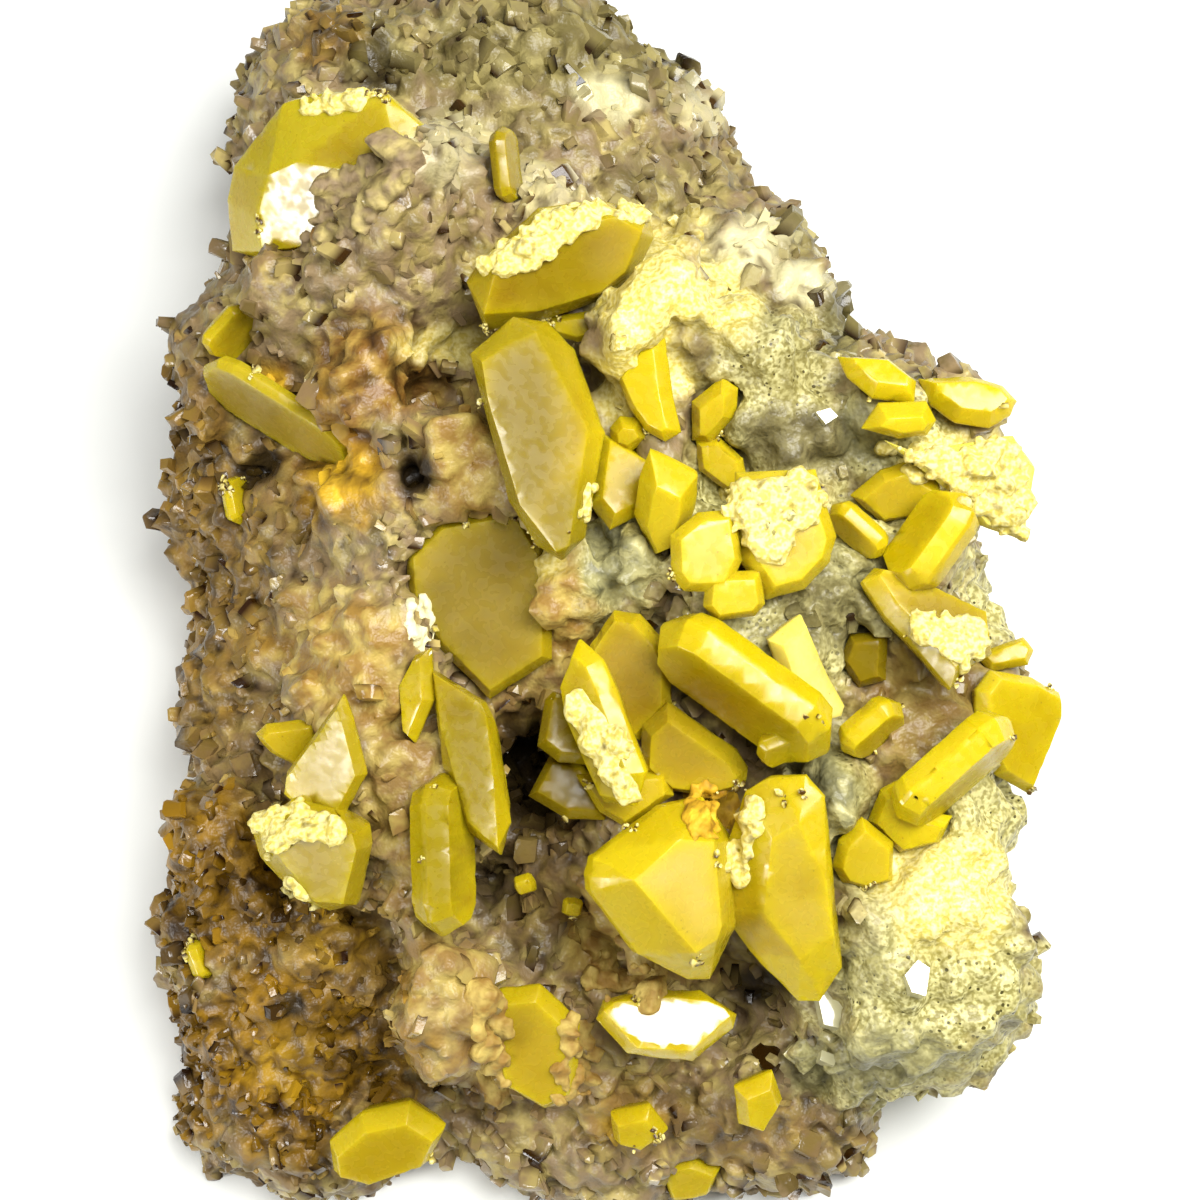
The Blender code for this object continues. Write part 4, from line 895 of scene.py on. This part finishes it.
edge_places = []
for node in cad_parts:
    if node == "matrix":
        continue
    piece = copy_of(node, node + "_crystal")
    bpy.ops.object.mode_set(mode="EDIT")
    bpy.ops.mesh.select_all(action="SELECT")
    bpy.ops.mesh.dissolve_limited(angle_limit=math.radians(1.5))
    bpy.ops.object.mode_set(mode="OBJECT")
    body = bmesh.new()
    body.from_mesh(piece.data)
    sharp = [
        tuple(np.array(corner.co) for corner in edge.verts) for edge in body.edges
        if len(edge.link_faces) == 2 and math.degrees(edge.calc_face_angle()) > EDGE_SHARP
    ]
    for start, end in sharp:
        count = int(np.linalg.norm(end - start) / EDGE_STEP)
        edge_places.append(start + draws.uniform(0.0, 1.0, (count, 1)) * (end - start))
    widths = [4.0 * face.calc_area() / face.calc_perimeter() for face in body.faces]
    plain = BVHTree.FromBMesh(body)
    broadest = max(body.faces, key=lambda face: face.calc_area())
    # Each face's milkiness, depth, and painted light and shade, the last drawn at random unless FACETS gives it.
    face_looks = np.stack([
        np.full(len(widths), LOOKS.get(node, PLAIN_LOOK)[0]), np.full(len(widths), LOOKS.get(node, PLAIN_LOOK)[1]),
        draws.uniform(0.2, 1.0, len(widths))], axis=1)
    for (face_u, face_v), look in FACETS.items():
        across, up = (face_u - SHEET_MIDDLE) * SHEET_UNIT, (SHEET_MIDDLE - face_v) * SHEET_UNIT
        index = plain.ray_cast(eye, showing_side @ Vector((across, up, 0.0)) - eye)[2]
        if index is not None:
            face_looks[index] = look
    facing = broadest.normal.copy()
    along = (broadest.verts[1].co - broadest.verts[0].co).normalized()
    aside = facing.cross(along).normalized()
    body.free()
    apply_modifier(piece, "BEVEL", width=0.04 * MM, segments=2, limit_method="ANGLE",
                   angle_limit=math.radians(EDGE_SHARP))
    lattice_cut(piece, LATTICE, along, aside)
    places, normals = corners_of(piece.data)
    near_edge = distance_to_edges(places, sharp)
    nearest = np.array([plain.find_nearest(Vector(place))[2] for place in places])
    width = np.array(widths)[nearest]
    mirror = (normals @ np.array(facing) > 0.995) * float(node in MIRRORS) * (near_edge > 0.1 * MM)
    chip = np.clip(noise_at(places, 0.5 * MM, 4.0), 0.0, 1.0) * np.exp(-near_edge / (0.15 * MM))
    wave = 0.02 * noise_at(places, 1.6 * MM, 8.0) * (1.0 - mirror)
    places += normals * (MM * (wave - 0.13 * chip))[:, None]
    piece.data.vertices.foreach_set("co", places.ravel())
    piece.data.update()
    u, v, _ = sheet_place(places)
    clouds = {
        "milk": face_looks[nearest, 0], "depth": face_looks[nearest, 1], "painted_crystal_shade": np.zeros(len(places))}
    for kind, spots in CLOUDS.items():
        for middle_u, middle_v, wide, high, strength in spots:
            away = np.hypot((u - middle_u) / wide, (v - middle_v) / high)
            clouds[kind] = np.maximum(clouds[kind], strength * np.clip(1.5 - away, 0.0, 1.0))
        set_attribute(piece.data, kind, clouds[kind])
    narrow = 1.0 - np.clip((width / MM - 2.2) / 2.0, 0.0, 1.0)
    set_attribute(piece.data, "rim", np.maximum(0.8 * narrow, 0.8 * np.exp(-near_edge / (0.5 * MM))))
    set_attribute(piece.data, "mirror", mirror)
    set_attribute(piece.data, "facet", face_looks[nearest, 2])
    bpy.ops.object.shade_smooth_by_angle(angle=math.radians(20.0))
    finish = FINISH_OF.get(node, "wulfenite")
    piece.data.materials.append(FINISHES[finish])
    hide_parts(node)
    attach(piece, "root")


# Crumbs of the cream crust that cling in patches to the edges of the crystals. They grew out of the same
# solutions as the larger crusts, after the crystals.
CLINGS_FROM = 0.66
CRUMB_SIZE = 0.24 * MM
edge_places = np.concatenate(edge_places)
clinging = noise_at(edge_places, 3.0 * MM, 21.0) + 0.5 * noise_at(edge_places, 0.9 * MM, 6.0)
edge_places = edge_places[clinging > CLINGS_FROM]
edge_places += draws.normal(0.0, 0.12 * MM, edge_places.shape)
away = draws.normal(size=edge_places.shape)
shares = {key: np.full(len(edge_places), float(key == "cream")) for key in ZONES}
edge_crumbs = joined_grains(
    "edge_crumbs", edge_places, grain_turns(away / np.linalg.norm(away, axis=1)[:, None], 0.5, draws),
    CRUMB_SIZE * draws.lognormal(0.0, 0.4, len(edge_places)), CRUMBS, draws, CRUMB_CREASE, shares)
edge_crumbs.data.materials.append(druse)
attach(edge_crumbs, "root")


# Small clear calcite faces in the crust that throw the lamp's light straight to the eye. Each is a thin flat
# crystal that stands as its outline on the sheet shows, with its face half way between lamp and eye.
KEY_PLACE = Vector((75.0, 60.0, 150.0)) * MM
GLINTS = {
    "glint_low": [(817, 992), (838, 985), (850, 1004), (846, 1030), (824, 1024)],
    "glint_foot": [(822, 1050), (838, 1056), (834, 1066), (820, 1060)],
    "glint_top": [(816, 412), (830, 408), (838, 416), (826, 424)],
    "glint_side": [(905, 975), (918, 960), (930, 968), (926, 996), (912, 992)],
}
calcite, calcite_shader = new_material("clear_calcite")
calcite_shader.inputs["Base Color"].default_value = hex_colour("#B9B48C")
calcite_shader.inputs["Roughness"].default_value = 0.08
calcite_shader.inputs["IOR"].default_value = 1.6
calcite_shader.inputs["Specular IOR Level"].default_value = 1.0
for glint, outline in GLINTS.items():
    seen, _ = seen_from_eye(*np.array([np.mean(outline, axis=0)]).T)
    middle = Vector(seen[0]) + (eye - Vector(seen[0])).normalized() * 0.7 * MM
    facing = ((eye - middle).normalized() + (showing_side @ KEY_PLACE - middle).normalized()).normalized()
    rim = []
    for corner_u, corner_v in outline:
        way = showing_side @ Vector(
            ((corner_u - SHEET_MIDDLE) * SHEET_UNIT, (SHEET_MIDDLE - corner_v) * SHEET_UNIT, 0.0)) - eye
        rim.append(eye + way * (middle - eye).dot(facing) / way.dot(facing))
    count = len(rim)
    deep = [corner - facing * 1.4 * MM for corner in rim]
    mesh = bpy.data.meshes.new(glint)
    mesh.from_pydata([*rim, *deep], [], [list(range(count)), list(range(2 * count - 1, count - 1, -1)), *[
        [side, side + count, (side + 1) % count + count, (side + 1) % count] for side in range(count)]])
    piece = bpy.data.objects.new(glint, mesh)
    place_alone(piece)
    bpy.ops.object.mode_set(mode="EDIT")
    bpy.ops.mesh.select_all(action="SELECT")
    bpy.ops.mesh.normals_make_consistent(inside=False)
    bpy.ops.object.mode_set(mode="OBJECT")
    piece.data.materials.append(calcite)
    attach(piece, "root")


# The table top: a sheet of white card, which isn't part of the specimen, under plain studio light.
bpy.ops.object.select_all(action="DESELECT")
bpy.ops.mesh.primitive_plane_add(size=1.6, location=(0.0, 0.0, 0.0))
card = bpy.context.object
card.name = "card"
paper, paper_shader = new_material("white_card")
paper_shader.inputs["Base Color"].default_value = hex_colour("#F2F3EE")
paper_shader.inputs["Roughness"].default_value = 0.8
card.data.materials.append(paper)

# Place and target in the sheet's frame, size and power. The two small lamps stand where the arch plate and
# the mirror plate throw their light to the eye.
LAMPS = {
    "key_lamp": (tuple(KEY_PLACE / MM), (0.0, 0.0, 0.0), 110.0, 0.6),
    "left_lamp": ((-138.0, -73.0, 95.0), (-19.5, 26.0, 0.0), 50.0, 0.2),
    "top_lamp": ((9.5, 40.0, 172.0), (3.9, -27.6, 3.0), 50.0, 0.14),
}


def soft_light(name, place, target, size, power):
    """A square soft light whose place is in the sheet's frame and which looks at the target."""
    lamp = bpy.data.objects.new(name, bpy.data.lights.new(name, "AREA"))
    lamp.data.size = size
    lamp.data.energy = power
    bpy.context.scene.collection.objects.link(lamp)
    lamp.location = showing_side @ Vector(place)
    aim = lamp.location - showing_side @ Vector(target)
    lamp.rotation_euler = aim.to_track_quat("Z", "Y").to_euler()
    return lamp


for lamp_name, (place, target, size, power) in LAMPS.items():
    soft_light(lamp_name, Vector(place) * MM, Vector(target) * MM, size * MM, power)

SKY_STRENGTH = 0.22
sky = bpy.data.worlds.new("studio")
sky.use_nodes = True
sky.node_tree.nodes["Background"].inputs["Color"].default_value = (0.97, 0.98, 1.0, 1.0)
sky.node_tree.nodes["Background"].inputs["Strength"].default_value = SKY_STRENGTH
bpy.context.scene.world = sky
bpy.context.scene.view_settings.view_transform = "Standard"
bpy.context.scene.cycles.diffuse_bounces = 2
bpy.context.scene.cycles.transmission_bounces = 6
bpy.context.scene.cycles.max_bounces = 6
